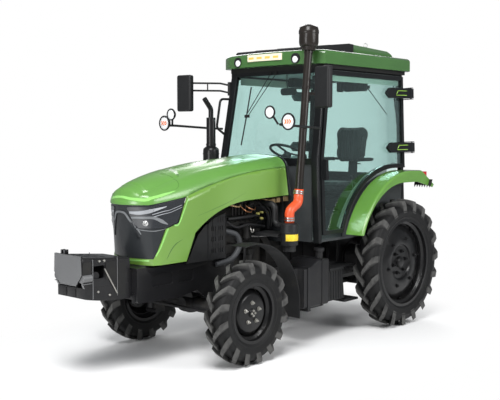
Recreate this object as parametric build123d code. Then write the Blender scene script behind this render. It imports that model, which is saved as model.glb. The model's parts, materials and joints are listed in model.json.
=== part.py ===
"""Compact cab tractor, four-wheel drive, as separate named pieces in millimetres.

Every piece is drawn with X = 0 on the rear axle, +X forward, +Y to the operator's left
and Z = 0 on the ground. save() then moves the whole tractor back by MID_X, so that the
origin of the written files is on the ground under the middle of the tractor's length.
"""

import math
import os

from build123d import *

# ---- wheels -----------------------------------------------------------------------
WHEELBASE = 2310
FRONT_TYRE_R, FRONT_TYRE_W, FRONT_RIM_R, FRONT_HALF_TRACK = 471, 205, 275, 720
REAR_TYRE_R, REAR_TYRE_W, REAR_RIM_R, REAR_HALF_TRACK = 683, 236, 473, 824
FRONT_HUB = (WHEELBASE, FRONT_HALF_TRACK, FRONT_TYRE_R)
REAR_HUB = (0, REAR_HALF_TRACK, REAR_TYRE_R)
KINGPIN_Y = 560
SPINDLE_R = 70
TRACK_ROD_X, TRACK_ROD_Y, TRACK_ROD_Z = WHEELBASE + 200, KINGPIN_Y, 462
FIT = 0.05

# ---- length of the whole tractor ----------------------------------------------------
FRONT_END_X = 3725
REAR_END_X = -845
MID_X = (FRONT_END_X + REAR_END_X) / 2

# ---- cab ------------------------------------------------------------------------------
FLOOR_Z, PLATFORM_Z = 1010, 1205
CAB_FRONT_X = 1222
BELT_Z, CAB_TOP_Z = 1820, 2720
WIDE_Y, TUMBLE = 697, 0.0386
SCREEN_TOP_X = 1075
DOOR_THICK = 30
ROOF_LOW_Z, ROOF_TOP_Z = 2756, 2895
ARCH_X, ARCH_Z, ARCH_R = -120, 695, 975
FENDER_IN, FENDER_OUT = 702, 908
DOOR_GAP = 24
HINGE_OUT = 77.94

# ---- bonnet ---------------------------------------------------------------------------
BONNET_SKIN = 5
# stations along the bonnet: x, half width and height where the crown meets the shoulder,
# height of the crown, half width and height of the crease, half width and height of the foot
BONNET_STATIONS = (
    (1391, 262, 1842, 1858, 392, 1748, 446, 1380),
    (1900, 232, 1793, 1822, 356, 1704, 402, 1360),
    (2400, 206, 1732, 1779, 336, 1596, 362, 1100),
    (2700, 200, 1668, 1728, 322, 1518, 338, 900),
    (2940, 190, 1594, 1668, 288, 1490, 306, 900),
    (3200, 150, 1490, 1545, 232, 1440, 246, 900),
)
# the nose seen from above, at the top lip and at the foot: corner and middle
BONNET_PIN = (1396, 1840)
NOSE_LIP_Z, NOSE_FOOT_Z = 1470, 915
NOSE_CORNER, NOSE_MIDDLE_X = (3058, 252), 3180
FOOT_CORNER, FOOT_MIDDLE_X = (3016, 268), 3092

EXHAUST = (1480, -548)
INTAKE_LOW, INTAKE_HIGH = (1456, 1530), (1318, 2870)

# ---- pivots ------------------------------------------------------------------------------
LIFT_PIVOT = (-150, 0, 870)
LINK_PIVOT = (-160, 0, 520)
LINK_HALF = 300
LINK_END = (-805, 400, 430)
LIFT_HALF = 250
LIFT_TIP = (-470, LIFT_HALF, 905)
ROD_FOOT = (-520, 472)

SIDE = Plane(origin=(0, 0, 0), x_dir=(1, 0, 0), z_dir=(0, -1, 0))


def face_of(outline):
    """A flat face from points, or the face itself."""
    return outline if isinstance(outline, (Face, Sketch)) else make_face(Polyline(*outline, close=True))


def block(x0, x1, y0, y1, z0, z1):
    """A box between two corners."""
    centre = ((x0 + x1) / 2, (y0 + y1) / 2, (z0 + z1) / 2)
    return Pos(*centre) * Box(x1 - x0, y1 - y0, z1 - z0)


def side(outline, y0, y1):
    """An (x, z) outline, with its thickness from y0 to y1."""
    return Pos(0, y1, 0) * extrude(SIDE * face_of(outline), amount=y1 - y0)


def plan(outline, z0, z1):
    """An (x, y) outline seen from above, from height z0 to z1."""
    return Pos(0, 0, z0) * extrude(face_of(outline), amount=z1 - z0)


def front(outline, x0, x1):
    """A (y, z) outline seen from ahead, from x0 to x1."""
    return Pos(x0, 0, 0) * extrude(Plane.YZ * face_of(outline), amount=x1 - x0)


def rod(start, end, radius, end_radius=None):
    """A round bar, or a cone, from one point to another."""
    along = Vector(*end) - Vector(*start)
    place = Plane(origin=start, z_dir=along)
    middle = (Align.CENTER, Align.CENTER, Align.MIN)
    if end_radius is None:
        return place * Cylinder(radius, along.length, align=middle)
    return place * Cone(radius, end_radius, along.length, align=middle)


def pipe(points, radius, bend):
    """A round tube of straight runs joined by arcs."""
    path = FilletPolyline(*points, radius=bend)
    start = Plane(origin=points[0], z_dir=Vector(*points[1]) - Vector(*points[0]))
    return sweep(start * Circle(radius), path=path)


def both(shape):
    """A piece and its mirror image on the tractor's other side."""
    return shape + mirror(shape, about=Plane.XZ)


def right_of(shape):
    """The same shape on the tractor's right."""
    return mirror(shape, about=Plane.XZ)


def turned(profile, centre):
    """A ring turned about a wheel's axle from (offset along the axle, radius) points."""
    ring = revolve(Plane.YZ * face_of(profile), Axis.Y, 360)
    return Pos(*centre) * ring


def spun(profile, start, end):
    """A body turned about the line from start towards end, from (radius, distance) points."""
    place = Plane(origin=start, z_dir=Vector(*end) - Vector(*start))
    return place * revolve(Plane.XZ * face_of(profile), Axis.Z, 360)


def rounded(outline, radius):
    """A flat face with every corner rounded."""
    face = face_of(outline)
    return fillet(face.vertices(), radius)


def soft(shape, radius, axis=Axis.Z, ends=(-1,)):
    """The shape with the edges of its end faces along an axis rounded."""
    for end in ends:
        shape = fillet(shape.faces().sort_by(axis)[end].edges(), radius)
    return shape


# ---- wheels -------------------------------------------------------------------------------
def tyre(radius, width, rim_radius, centre):
    """A hollow tyre, open towards its rim: tread, two sidewalls and two beads."""
    half, wall = width / 2, 16
    bead_at, seat = width * 0.41 - 8, rim_radius - 22
    lip, waist = rim_radius + 3, (radius + rim_radius) / 2
    shoulder, square = radius - 16, half - 10
    outer = (
        Polyline((-bead_at + wall, seat), (-bead_at, seat), (-bead_at, lip))
        + ThreePointArc((-bead_at, lip), (-half, waist), (-square, shoulder))
        + ThreePointArc((-square, shoulder), (0, radius), (square, shoulder))
        + ThreePointArc((square, shoulder), (half, waist), (bead_at, lip))
        + Polyline((bead_at, lip), (bead_at, seat), (bead_at - wall, seat))
    )
    inner = (
        ThreePointArc((bead_at - wall, seat), (half - wall, waist), (square - wall, shoulder - wall))
        + ThreePointArc(
            (square - wall, shoulder - wall), (0, radius - 2.2 * wall), (-square + wall, shoulder - wall)
        )
        + ThreePointArc((-square + wall, shoulder - wall), (-half + wall, waist), (-bead_at + wall, seat))
    )
    return turned(make_face(outer + inner), centre)


def rim(rim_radius, width, centre):
    """A rolled rim: two curled flanges, two bead seats and a drop centre, in 8 mm sheet."""
    half, sheet = width * 0.41, 8
    lip, seat, well = rim_radius, rim_radius - 22, rim_radius - 52
    outline = (
        (-half, lip), (-half + sheet, lip), (-half + sheet, seat), (-half + 42, seat), (-half + 58, well),
        (half - 58, well), (half - 42, seat), (half - sheet, seat), (half - sheet, lip), (half, lip),
        (half, seat - sheet), (half - 38, seat - sheet), (half - 54, well - sheet),
        (-half + 54, well - sheet), (-half + 38, seat - sheet), (-half, seat - sheet),
    )
    return turned(outline, centre)


def front_wheel():
    """The rim with its cone pressed outwards to a flat plate, and the hub bored for the spindle."""
    cone = (
        (-22, 218), (-8, 218), (40, 180), (50, 170), (54, 158), (54, 42), (66, 38), (70, 30), (72, 0),
        (40, 0), (40, SPINDLE_R + FIT), (21, SPINDLE_R + FIT), (21, 96), (44, 100), (44, 154), (38, 164),
        (-22, 208),
    )
    return rim(FRONT_RIM_R, FRONT_TYRE_W, FRONT_HUB) + turned(cone, FRONT_HUB)


def rear_wheel():
    """The rim with its dished disc: a raised ring, and a hub face sunk inside it."""
    disc = (
        (-50, 0), (-50, 92), (-18, 118), (9, 128), (9, 176), (12, 186), (34, 193), (37, 204), (37, 290),
        (33, 300), (-8, 392), (-14, 398), (-14, 416), (-2, 416), (-2, 401), (4, 394), (44, 306), (49, 295),
        (49, 203), (46, 192), (26, 184), (21, 174), (21, 62), (40, 58), (50, 48), (52, 0),
    )
    return rim(REAR_RIM_R, REAR_TYRE_W, REAR_HUB) + turned(disc, REAR_HUB)


# ---- chassis ---------------------------------------------------------------------------------
def front_weight_bracket():
    """The box that carries hook-on weights: a front plate, two windowed cheeks and a slotted lid."""
    outline = ((-180, 1070), (-188, 915), (-108, 818), (108, 818), (188, 915), (180, 1070))
    plate = front(outline, 3707, FRONT_END_X)
    under = Polyline((3215, 800), (3690, 800), (3690, 712)) + ThreePointArc(
        (3690, 712), (3480, 676), (3240, 664)
    ) + Polyline((3240, 664), (3215, 664), (3215, 800))
    beam = side(make_face(under), -186, 186)
    for y in (-62, 62):
        beam -= block(3672, 3700, y - 5, y + 5, 640, 790)
    outline = ((3215, 800), (3215, 1000), (3350, 1010), (3600, 1034), (3707, 1046), (3707, 830), (3690, 800))
    cheek = side(outline, 160, 184)
    window = SIDE * Pos(3560, 922) * RectangleRounded(150, 108, 14)
    cheek -= Pos(0, 200, 0) * extrude(window, amount=60)
    lid_outline = ((3215, 996), (3350, 1010), (3707, 1046), (3707, 1060), (3350, 1024), (3215, 1010))
    lid = side(lid_outline, -180, 180)
    for x in (3420, 3500, 3580):
        lid -= block(x, x + 34, -130, 130, 950, 1100)
    bar = rod((3560, -160, 890), (3560, 160, 890), 34)
    brace = side(((3330, 800), (3330, 990), (3345, 990), (3345, 800)), -160, 160)
    horn = block(3660, 3700, -128, -112, 1050, 1100) + block(3660, 3700, -88, -72, 1050, 1100)
    horn += rod((3680, -136, 1082), (3680, -64, 1082), 10)
    return plate + beam + both(cheek) + lid + bar + brace + horn


def front_support():
    """The cast carrier bolted to the engine: two side rails, a windowed nose and the axle saddle."""
    lower = (
        Polyline((1990, 905), (1990, 660))
        + ThreePointArc((1990, 660), (2005, 640), (2030, 640))
        + Line((2030, 640), (2080, 700))
        + Line((2080, 700), (2150, 700))
        + Line((2150, 700), (2240, 566))
        + Line((2240, 566), (2380, 566))
        + Line((2380, 566), (2480, 640))
        + Line((2480, 640), (2700, 600))
        + Line((2700, 600), (3150, 612))
        + ThreePointArc((3150, 612), (3186, 626), (3192, 660))
        + Line((3192, 660), (3192, 905))
        + Line((3192, 905), (1990, 905))
    )
    rail = side(make_face(lower), 206, 250)
    for x, wide in ((2620, 190), (2900, 240)):
        pocket = SIDE * Pos(x, 790) * RectangleRounded(wide, 110, 24)
        rail -= Pos(0, 300, 0) * extrude(pocket, amount=62)
    window = rounded(((-150, 740), (150, 740), (150, 862), (-150, 862)), 16)
    nose = block(3152, 3192, -250, 250, 640, 905) - front(window, 3100, 3200)
    lip = block(3090, 3200, -252, 252, 905, 917)
    floor = block(2480, 3152, -206, 206, 640, 660) + block(2190, 2430, -206, 206, 600, 636)
    deck = block(2700, 3110, -206, 206, 893, 905)
    tongue = block(3192, 3215, -186, 186, 690, 900)
    fins = both(block(3192, 3204, 192, 204, 612, 700) + block(3192, 3204, 214, 226, 612, 700))
    return both(rail) + nose + lip + floor + deck + tongue + fins


def front_axle():
    """The driven beam: centre casing, two tapered tubes and a fork at each kingpin."""
    x, z = WHEELBASE, FRONT_TYRE_R
    casing = Pos(x, 0, z) * scale(Sphere(100), by=(1.25, 1.1, 1.0))
    cover = rod((x + 92, 0, z), (x + 128, 0, z), 78, 62)
    nose = rod((x - 40, 0, z), (x - 300, 0, z + 20), 62, 42)
    collar = rod((x - 296, 0, z + 20), (x - 330, 0, z + 22), 52)
    tube = rod((x, 60, z), (x, 452, z), 66, 48)
    fork = side(rounded(((x - 62, 345), (x + 62, 345), (x + 62, 605), (x - 62, 605)), 18), 440, 476)
    ears = block(x - 62, x + 62, 440, KINGPIN_Y, 315, 345)
    ears += rod((x, KINGPIN_Y, 315), (x, KINGPIN_Y, 345), 62)
    ears += block(x - 62, x + 62, 440, KINGPIN_Y, 605, 635)
    ears += rod((x, KINGPIN_Y, 605), (x, KINGPIN_Y, 635), 62)
    rib = side(((x - 10, z), (x + 10, z), (x + 10, z + 118), (x - 10, z + 118)), 120, 452)
    rib -= front(((120, z + 60), (120, z + 130), (400, z + 130)), x - 20, x + 20)
    pivot = front(rounded(((-148, 545), (148, 545), (120, 600), (-120, 600)), 12), x - 120, x + 120)
    pin = rod((x, KINGPIN_Y, 305), (x, KINGPIN_Y, 645), 20)
    return casing + cover + nose + collar + pivot + both(tube + fork + ears + rib + pin)


def knuckle():
    """The left swivel housing: bored for the kingpin, with the final drive, spindle and steering arm."""
    x, y, z = WHEELBASE, KINGPIN_Y, FRONT_TYRE_R
    barrel = rod((x, y, 351), (x, y, 599), 66)
    profile = ((0, 0), (92, 0), (92, 60), (112, 110), (112, 160), (98, 175), (0, 175))
    drive = spun(profile, (x, y, z), (x, y + 1, z))
    spindle = rod((x, 730, z), (x, 760 - FIT, z), SPINDLE_R)
    eye = (TRACK_ROD_X, TRACK_ROD_Y)
    arm = plan(((x + 30, y - 8), (x + 30, y + 40), (eye[0], eye[1] + 26), (eye[0], eye[1] - 26)), 405, 431)
    arm += rod((*eye, 405), (*eye, 431), 26)
    stay = pipe(
        ((x - 86, y + 30, 500), (x - 104, y + 32, 760),
         (x - 104, y + 32, 1062), (x - 104, 700, 1063)), 14, 40
    )
    bore = rod((x, y, 300), (x, y, 650), 20 + FIT) + rod((*eye, 400), (*eye, 440), 11 + FIT)
    return barrel + drive + spindle + arm + stay - bore


def track_rod():
    """The bar that joins the two steering arms, with a pin down into each arm's eye."""
    x, y, z = TRACK_ROD_X, TRACK_ROD_Y, TRACK_ROD_Z
    bar = rod((x, -y, z), (x, y, z), 15)
    end = rod((x, y, z - 22), (x, y, z + 20), 27) + rod((x, y - 150, z), (x, y, z), 20)
    pin = rod((x, y, 401), (x, y, z), 11)
    nut = rod((x, y, 392), (x, y, 401), 18)
    return bar + both(end + pin + nut)


def mudguard():
    """The left front mudguard: a crowned sheet over the tyre that ends in a straight flap."""
    x, z = WHEELBASE, FRONT_TYRE_R
    outer, inner = 622, 616

    def on(radius, degrees):
        turn = math.radians(degrees)
        return (x + radius * math.cos(turn), z + radius * math.sin(turn))

    outline = (
        Polyline(on(inner, 78), on(outer, 78))
        + ThreePointArc(on(outer, 78), on(outer, 125), on(outer, 176))
        + Polyline(on(outer, 176), (x - outer, 330), (x - inner, 330), on(inner, 176))
        + ThreePointArc(on(inner, 176), on(inner, 125), on(inner, 78))
    )
    rib = (
        ThreePointArc(on(outer - 1, 84), on(outer - 1, 125), on(outer - 1, 170))
        + Line(on(outer - 1, 170), on(outer + 5, 170))
        + ThreePointArc(on(outer + 5, 170), on(outer + 5, 125), on(outer + 5, 84))
        + Line(on(outer + 5, 84), on(outer - 1, 84))
    )
    return side(make_face(outline), 640, 825) + side(make_face(rib), 700, 765)


def engine():
    """A four-cylinder diesel: crankcase, head, covers, manifolds, filters, pump and belt drive."""
    outline = ((-170, 660), (-150, 1120), (150, 1120), (170, 660), (140, 640), (-140, 640))
    crankcase = front(outline, 1500, 2440)
    head = block(1560, 2400, -135, 135, 1120, 1262)
    cover = soft(block(1600, 2360, -84, 84, 1262, 1352), 26)
    sump = front(rounded(((-150, 642), (150, 642), (112, 556), (-112, 556)), 14), 1560, 1990)
    bell = rod((1400, 0, 850), (1500, 0, 850), 235)
    timing = rod((2440, 0, 790), (2476, 0, 790), 150) + block(2440, 2476, -130, 130, 790, 1180)
    pulley = rod((2476, 0, 770), (2506, 0, 770), 92) + rod((2476, 0, 1080), (2500, 0, 1080), 74)
    generator = rod((2330, 214, 1120), (2470, 214, 1120), 66)
    generator += rod((2470, 214, 1120), (2498, 214, 1120), 36)
    generator += block(2380, 2430, 120, 180, 1090, 1130)
    intake = rod((1600, 176, 1205), (2300, 176, 1205), 40) + block(1620, 2280, 130, 160, 1180, 1230)
    intake += pipe(((1700, 176, 1225), (1700, 176, 1385), (1560, 230, 1385)), 36, 50)
    log = rod((1620, -180, 1205), (2320, -180, 1205), 36) + rod((1430, -180, 1205), (1640, -180, 1205), 36)
    for x in (1680, 1890, 2100, 2310):
        log += rod((x, -120, 1205), (x, -180, 1205), 26)
        intake += rod((x - 60, 60, 1352), (x - 60, 60, 1384), 22)
    pump = soft(block(1960, 2240, 140, 262, 925, 1020), 16, Axis.Y)
    pump += rod((1900, 205, 965), (1960, 205, 965), 46)
    oil_filter = spun(((0, 0), (46, 0), (48, 20), (48, 120), (40, 134), (0, 134)),
                      (1750, 224, 900), (1750, 224, 700))
    mount = block(1700, 1800, 150, 270, 900, 940)
    fuel_filter = spun(((0, 0), (40, 0), (40, 120), (28, 136), (0, 136)),
                       (1820, 250, 1180), (1820, 250, 1040))
    bracket = block(1780, 1860, 130, 290, 1180, 1200)
    starter = rod((1500, -214, 900), (1720, -214, 900), 52) + block(1520, 1600, -214, -150, 870, 930)
    return (
        crankcase + head + cover + sump + bell + timing + pulley + generator + intake + log + pump
        + oil_filter + mount + fuel_filter + bracket + starter
    )


def radiator_screens():
    """The radiator core and, on each side, a folded steel panel with groups of cooling slots."""
    outline = ((2140, 921), (2140, 1330), (2290, 1290), (2420, 1225), (2508, 1150), (2640, 921))
    panel = side(outline, 286, 298)
    panel += side(((2372, 921), (2372, 1250), (2384, 1244), (2384, 921)), 298, 306)
    for x in (2190, 2214, 2238, 2284, 2308, 2332):
        for z in (985, 1095, 1190):
            panel -= Pos(x, 290, z) * Box(9, 60, 44)
    core = block(2520, 2640, -270, 270, 921, 1420)
    tank = soft(block(2506, 2654, -278, 278, 1380, 1436), 20)
    shroud = rod((2512, 0, 1080), (2522, 0, 1080), 236)
    foot = block(2140, 2654, 210, 298, 905, 921)
    return both(panel + foot) + core + tank + shroud


def gearbox():
    """Clutch housing, gearbox, rear centre, lift cover and the two axle trumpets in one casting."""
    clutch = front(((-215, 760), (-215, 930), (-160, 985), (160, 985), (215, 930), (215, 760), (150, 610),
                    (-150, 610)), 1180, 1400)
    middle = front(((-172, 640), (-172, 930), (-130, 965), (130, 965), (172, 930), (172, 640), (120, 580),
                    (-120, 580)), 420, 1180)
    for x in (620, 820, 1020):
        flange_outline = ((-184, 640), (-184, 940), (184, 940), (184, 640), (130, 572), (-130, 572))
        middle += front(flange_outline, x, x + 16)
    centre = front(((-215, 500), (-215, 900), (-180, 940), (180, 940), (215, 900), (215, 500), (170, 450),
                    (-170, 450)), -250, 420)
    lift = side(((-245, 936), (-245, 960), (-190, 978), (60, 978), (110, 936)), -150, 150)
    trumpet = rod((0, 200, REAR_TYRE_R), (0, 640, REAR_TYRE_R), 150, 98)
    flange = rod((0, 200, REAR_TYRE_R), (0, 224, REAR_TYRE_R), 178)
    flange += rod((0, 640, REAR_TYRE_R), (0, 668, REAR_TYRE_R), 150)
    shaft = rod((0, 668, REAR_TYRE_R), (0, REAR_HALF_TRACK - 50 - FIT, REAR_TYRE_R), 48)
    pin = rod((-160, 215, 520), (-160, LINK_HALF + 45, 520), 16) + block(-200, -120, 200, 262, 480, 560)
    lift_pin = rod((LIFT_PIVOT[0], 150, LIFT_PIVOT[2]), (LIFT_PIVOT[0], LIFT_HALF + 40, LIFT_PIVOT[2]), 30)
    boss = rod((-250, 0, 690), (-282, 0, 690), 88)
    ears = side(rounded(((-342, 812), (-342, 890), (-240, 930), (-240, 798)), 14), 34, 52)
    ears -= rod((-312, 0, 850), (-312, 100, 850), 12.7)
    return clutch + middle + centre + lift + boss + both(trumpet + flange + shaft + pin + lift_pin + ears)


def fuel_tank():
    """A blow-moulded tank on each side, cut back in front to clear the steered wheel."""
    outline = (
        (1080, 372), (1080, 828), (1262, 828), (1390, 766), (1600, 752), (1590, 560), (1490, 372),
    )
    tank = side(rounded(outline, 30), 400, 715)
    tank = fillet(tank.faces().sort_by(Axis.Y)[-1].edges(), 18)
    tank -= Pos(1640, 722, 560) * Cylinder(150, 600)
    seam = side(((1196, 368), (1196, 833), (1208, 833), (1208, 368)), 398, 720) - block(
        1190, 1214, 405, 712, 376, 824
    )
    neck = rod((1160, 640, 815), (1160, 640, 900), 40)
    cap = spun(((0, 0), (52, 0), (54, 8), (54, 30), (46, 36), (0, 36)),
               (1160, 640, 900), (1160, 640, 950))
    strap = side(((1395, 362), (1395, 772), (1438, 768), (1438, 362)), 395, 722)
    strap -= block(1390, 1445, 402, 716, 370, 762)
    shelf = block(1080, 1480, 180, 640, 340, 362) + block(1395, 1438, 395, 722, 340, 362)
    return both(tank + seam + neck + cap + strap + shelf)


def battery_box():
    """The ribbed box ahead of the cab step, its lid, and the step on its hanger."""
    box = side(((800, 385), (835, 690), (1060, 690), (1060, 385)), 430, 694)
    for x in (858, 900, 942, 984, 1026):
        box += side(((x - 12, 392), (x - 4, 684), (x + 10, 684), (x + 2, 392)), 430, 700)
    lid = soft(block(826, 1066, 424, 706, 690, 716), 8)
    step = block(560, 800, 470, 700, 340, 362) - block(590, 770, 500, 670, 300, 400)
    for x in (620, 665, 710):
        step += block(x, x + 18, 490, 680, 344, 362)
    hanger = block(560, 600, 440, 470, 340, 985)
    bracket = block(600, 1060, 440, 470, 340, 385)
    upper = block(560, 790, 480, 640, 690, 706) + block(560, 790, 470, 480, 690, 730)
    return both(box + lid + step + hanger + bracket + upper)


# ---- cab ----------------------------------------------------------------------------------
def side_y(z):
    """How far out the cab's side plane is at a height."""
    return WIDE_Y - TUMBLE * (z - 1000)


def post(low, high, width, depth):
    """A square post whose outer corner runs from low to high, width along Y, depth along X."""
    faces = []
    for x, y, z in (low, high):
        section = RectangleRounded(depth, width, 12)
        faces.append(Plane.XY.offset(z) * Pos(x - depth / 2, y - width / 2) * section)
    return loft(faces, ruled=True)


def grab_handle():
    """The tube handle ahead of the right front post."""
    return pipe(((1090, -618, 2440), (1240, -640, 2440), (1300, -640, 2130), (1190, -628, 2060)), 13, 50)


def cab_frame():
    """Four posts, belt, roof rails and the right grab handle."""
    inset = DOOR_THICK + 8
    a_low = post((CAB_FRONT_X, side_y(985) - 4, 985), (CAB_FRONT_X, side_y(BELT_Z) - 4, BELT_Z), 84, 46)
    a_high = post(
        (CAB_FRONT_X, side_y(BELT_Z) - 4, BELT_Z), (SCREEN_TOP_X, side_y(CAB_TOP_Z) - 4, CAB_TOP_Z), 84, 46
    )
    c_low = post((-345, side_y(PLATFORM_Z) - inset, PLATFORM_Z),
                 (-345, side_y(CAB_TOP_Z) - inset, CAB_TOP_Z), 50, 65)
    rail = block(-410, SCREEN_TOP_X - 46, 545, side_y(CAB_TOP_Z) - inset, CAB_TOP_Z - 50, CAB_TOP_Z)
    head = block(SCREEN_TOP_X - 46, SCREEN_TOP_X, -630, 630, CAB_TOP_Z - 45, CAB_TOP_Z)
    tail = block(-410, -345, -560, 560, CAB_TOP_Z - 50, CAB_TOP_Z)
    belt = block(CAB_FRONT_X - 40, CAB_FRONT_X - 4, -600, 600, BELT_Z - 60, BELT_Z)
    waist = block(-410, -345, -600, 600, 1560, 1620)
    hinges = hinge_bracket(915) + hinge_bracket(1510)
    return both(a_low + a_high + c_low + rail + hinges) + head + tail + belt + waist + grab_handle()


def arch_at(lift, degrees):
    """A point on the rear arch's line, or lift outside it, in side view."""
    turn = math.radians(degrees)
    return (ARCH_X + (ARCH_R + lift) * math.cos(turn), ARCH_Z + (ARCH_R + lift) * math.sin(turn))


def arch_point(lift, height):
    """The arch line's point at a height on its front side, or its highest point."""
    if height is None:
        return (ARCH_X, ARCH_Z + ARCH_R + lift)
    return (ARCH_X + math.sqrt((ARCH_R + lift) ** 2 - (height - ARCH_Z) ** 2), height)


def cab_floor():
    """Foot well, raised seat platform that clears the lift arms, firewall, inner arches and back wall."""
    floor = block(-90, CAB_FRONT_X - 46, -650, 650, 985, FLOOR_Z)
    platform = block(-400, 350, -625, 625, PLATFORM_Z - 25, PLATFORM_Z)
    riser = block(330, 350, -560, 560, FLOOR_Z, PLATFORM_Z - 25)
    under = block(-90, -70, -560, 560, FLOOR_Z, PLATFORM_Z - 25)
    firewall = block(CAB_FRONT_X - 46, CAB_FRONT_X - 26, -570, 570, 985, BELT_Z - 60)
    foot, crest = arch_point(-30, FLOOR_Z), arch_point(-30, None)
    wall = (
        Polyline(foot, (-90, FLOOR_Z), (-90, PLATFORM_Z - 25), (-380, PLATFORM_Z - 25),
                 (-380, crest[1]), crest)
        + ThreePointArc(crest, arch_at(-30, 55), foot)
    )
    wing = side(make_face(wall), 625, 640)
    outline = rounded(((-200, 1200), (-200, 1470), (330, 1440), (420, 1380), (420, 1200)), 30)
    console = side(outline, 330, 625)
    back = block(-410, -390, -600, 600, PLATFORM_Z - 25, 1560)
    return floor + platform + riser + under + firewall + both(wing + console) + back


def roof_slab(inset):
    """The roof's wide lower moulding, or the space that an inset leaves inside it."""
    front_edge = ThreePointArc((1192, -560), (1262, 0), (1192, 560))
    flank = Polyline((1192, 560), (1120, 674), (-410, 694), (-470, 634),
                     (-470, -634), (-410, -694), (1120, -674), (1192, -560))
    face = make_face(front_edge + flank)
    if inset:
        face = offset(face, amount=-inset)
    slab = plan(face, ROOF_LOW_Z + inset, ROOF_TOP_Z - inset)
    return fillet(slab.faces().sort_by(Axis.Z)[-1].edges(), 40 - inset)


def roof_deck(inset):
    """The raised rear part of the roof, with sloped sides and a short sloping tail."""
    outline = ((430, 2850), (430, 2996), (400, 3018), (-280, 2980), (-350, 2930), (-370, 2850))
    across = ((-500, 2850), (-500, 2950), (-478, 2980), (-430, 3018),
              (430, 3018), (478, 2980), (500, 2950), (500, 2850))
    length, width = make_face(Polyline(*outline, close=True)), make_face(Polyline(*across, close=True))
    if inset:
        length, width = offset(length, amount=-inset), offset(width, amount=-inset)
    return side(length, -520, 520) & front(width, -400, 460)


def roof():
    """A hollow moulding with a raised deck, over a flat lining."""
    shell = roof_slab(0) + roof_deck(0) - roof_slab(8) - roof_deck(8)
    lining = plan(((1060, -560), (1060, 560), (-400, 560), (-400, -560)), CAB_TOP_Z + 22, ROOF_LOW_Z)
    return shell + lining


def roof_cover():
    """The dark sloping cover ahead of the deck, with three low ribs."""
    outline = ((440, 2896), (440, 3000), (520, 3004), (1090, 2936), (1112, 2916), (1112, 2896))
    hollow = side(((446, 2890), (446, 2994), (1100, 2922), (1106, 2890)), -522, 522)
    cover = side(outline, -530, 530) - hollow
    rib = ((560, 2990), (560, 3004), (1040, 2947), (1040, 2930))
    ribs = [side(rib, y - 14, y + 14) for y in (-300, 0, 300)]
    return cover + ribs[0] + ribs[1] + ribs[2]


def cab_glass():
    """Windscreen and rear window, as two panes that follow the leaning posts."""
    low, high = CAB_FRONT_X - 26, SCREEN_TOP_X - 26
    top = CAB_TOP_Z - 45
    screen = side(((low, BELT_Z), (low + 6, BELT_Z), (high + 6, top), (high, top)), -560, 560)
    rear = block(-385, -379, -555, 555, 1620, CAB_TOP_Z - 50)
    return screen + rear


def rear_fender():
    """The left rear fender: a crowned top sheet and an outer lip that deepens over the wheel."""
    foot, crest = arch_point(0, 1040), arch_point(0, None)
    top = (
        Polyline((760, 1040), foot)
        + ThreePointArc(foot, arch_at(0, 55), crest)
        + Polyline(crest, (-330, 1668), (-600, 1500), (-570, 1470), (-250, 1545), (0, 1545))
        + ThreePointArc((0, 1545), (500, 1385), (760, 1040))
    )
    low, high = arch_point(-6, 1000), arch_point(-6, None)
    hollow = (
        Polyline((700, 1000), low)
        + ThreePointArc(low, arch_at(-6, 55), high)
        + Polyline(high, (-328, 1662), (-592, 1498), (-570, 1380), (-250, 1400), (0, 1400))
        + ThreePointArc((0, 1400), (450, 1250), (700, 1000))
    )
    outer = side(make_face(top), FENDER_IN, FENDER_OUT)
    crown = [edge for edge in outer.faces().sort_by(Axis.Y)[-1].edges() if above_arch(edge)]
    outer = fillet(crown, 22)
    inner = side(make_face(hollow), FENDER_IN - 10, FENDER_OUT - 6)
    crown = [edge for edge in inner.faces().sort_by(Axis.Y)[-1].edges() if above_arch(edge)]
    return outer - fillet(crown, 16)


def above_arch(edge):
    """Whether an edge of the fender's side face lies on its crown, not on its lower lip."""
    middle = edge @ 0.5
    return math.hypot(middle.X - ARCH_X, middle.Z - ARCH_Z) > ARCH_R - 12 and middle.X > -120


def dashboard():
    """Instrument cowl on the firewall, its hood and the leaning steering column."""
    outline = (
        Line((1176, 1300), (1176, 1700))
        + ThreePointArc((1176, 1700), (1090, 1748), (1000, 1744))
        + Polyline((1000, 1744), (958, 1640), (1040, 1300), (1176, 1300))
    )
    cowl = side(make_face(outline), -190, 190)
    column = rod((1020, 0, 1560), (905, 0, 1800), 38, 30)
    foot = block(1040, 1176, -90, 90, FLOOR_Z, 1300)
    pedals = Pos(980, -250, 1090) * Rot(0, 50, 0) * Box(90, 80, 12)
    pedals += rod((980, -250, 1090), (1176, -250, 1250), 10)
    pedals += Pos(980, 250, 1090) * Rot(0, 50, 0) * Box(90, 80, 12)
    pedals += rod((980, 250, 1090), (1176, 250, 1250), 10)
    return cowl + column + foot + pedals


def steering_wheel():
    """The tilted wheel: rim, hub and three spokes."""
    tilt = Plane(origin=(872, 0, 1868), z_dir=Vector(-115, 0, 240))
    rim = tilt * Torus(195, 14)
    hub = tilt * Pos(0, 0, -30) * Cylinder(42, 50)
    spokes = hub
    for turn in (0, 120, 240):
        spoke = Rot(0, 0, turn) * Pos(110, 0, -6) * Box(150, 30, 10)
        spokes += tilt * spoke
    return rim + spokes


def mirrors():
    """A rounded mirror head on two level tubes, and the bracket on the front post."""
    head = Pos(1484, 930, 2500) * Rot(0, 0, -8) * Box(70, 190, 390)
    head = fillet(head.edges(), 22)
    arms = rod((1100, 630, 2590), (1100, 652, 2590), 16)
    for z in (2590, 2510):
        arms += pipe(((1100, 640, z), (1190, 690, z + 20), (1470, 905, z + 20)), 10, 30)
    arms += rod((1300, 774, 2612), (1300, 774, 2528), 7)
    bracket = block(1084, 1116, 612, 650, 2480, 2625)
    return both(head + arms + bracket)


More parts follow.
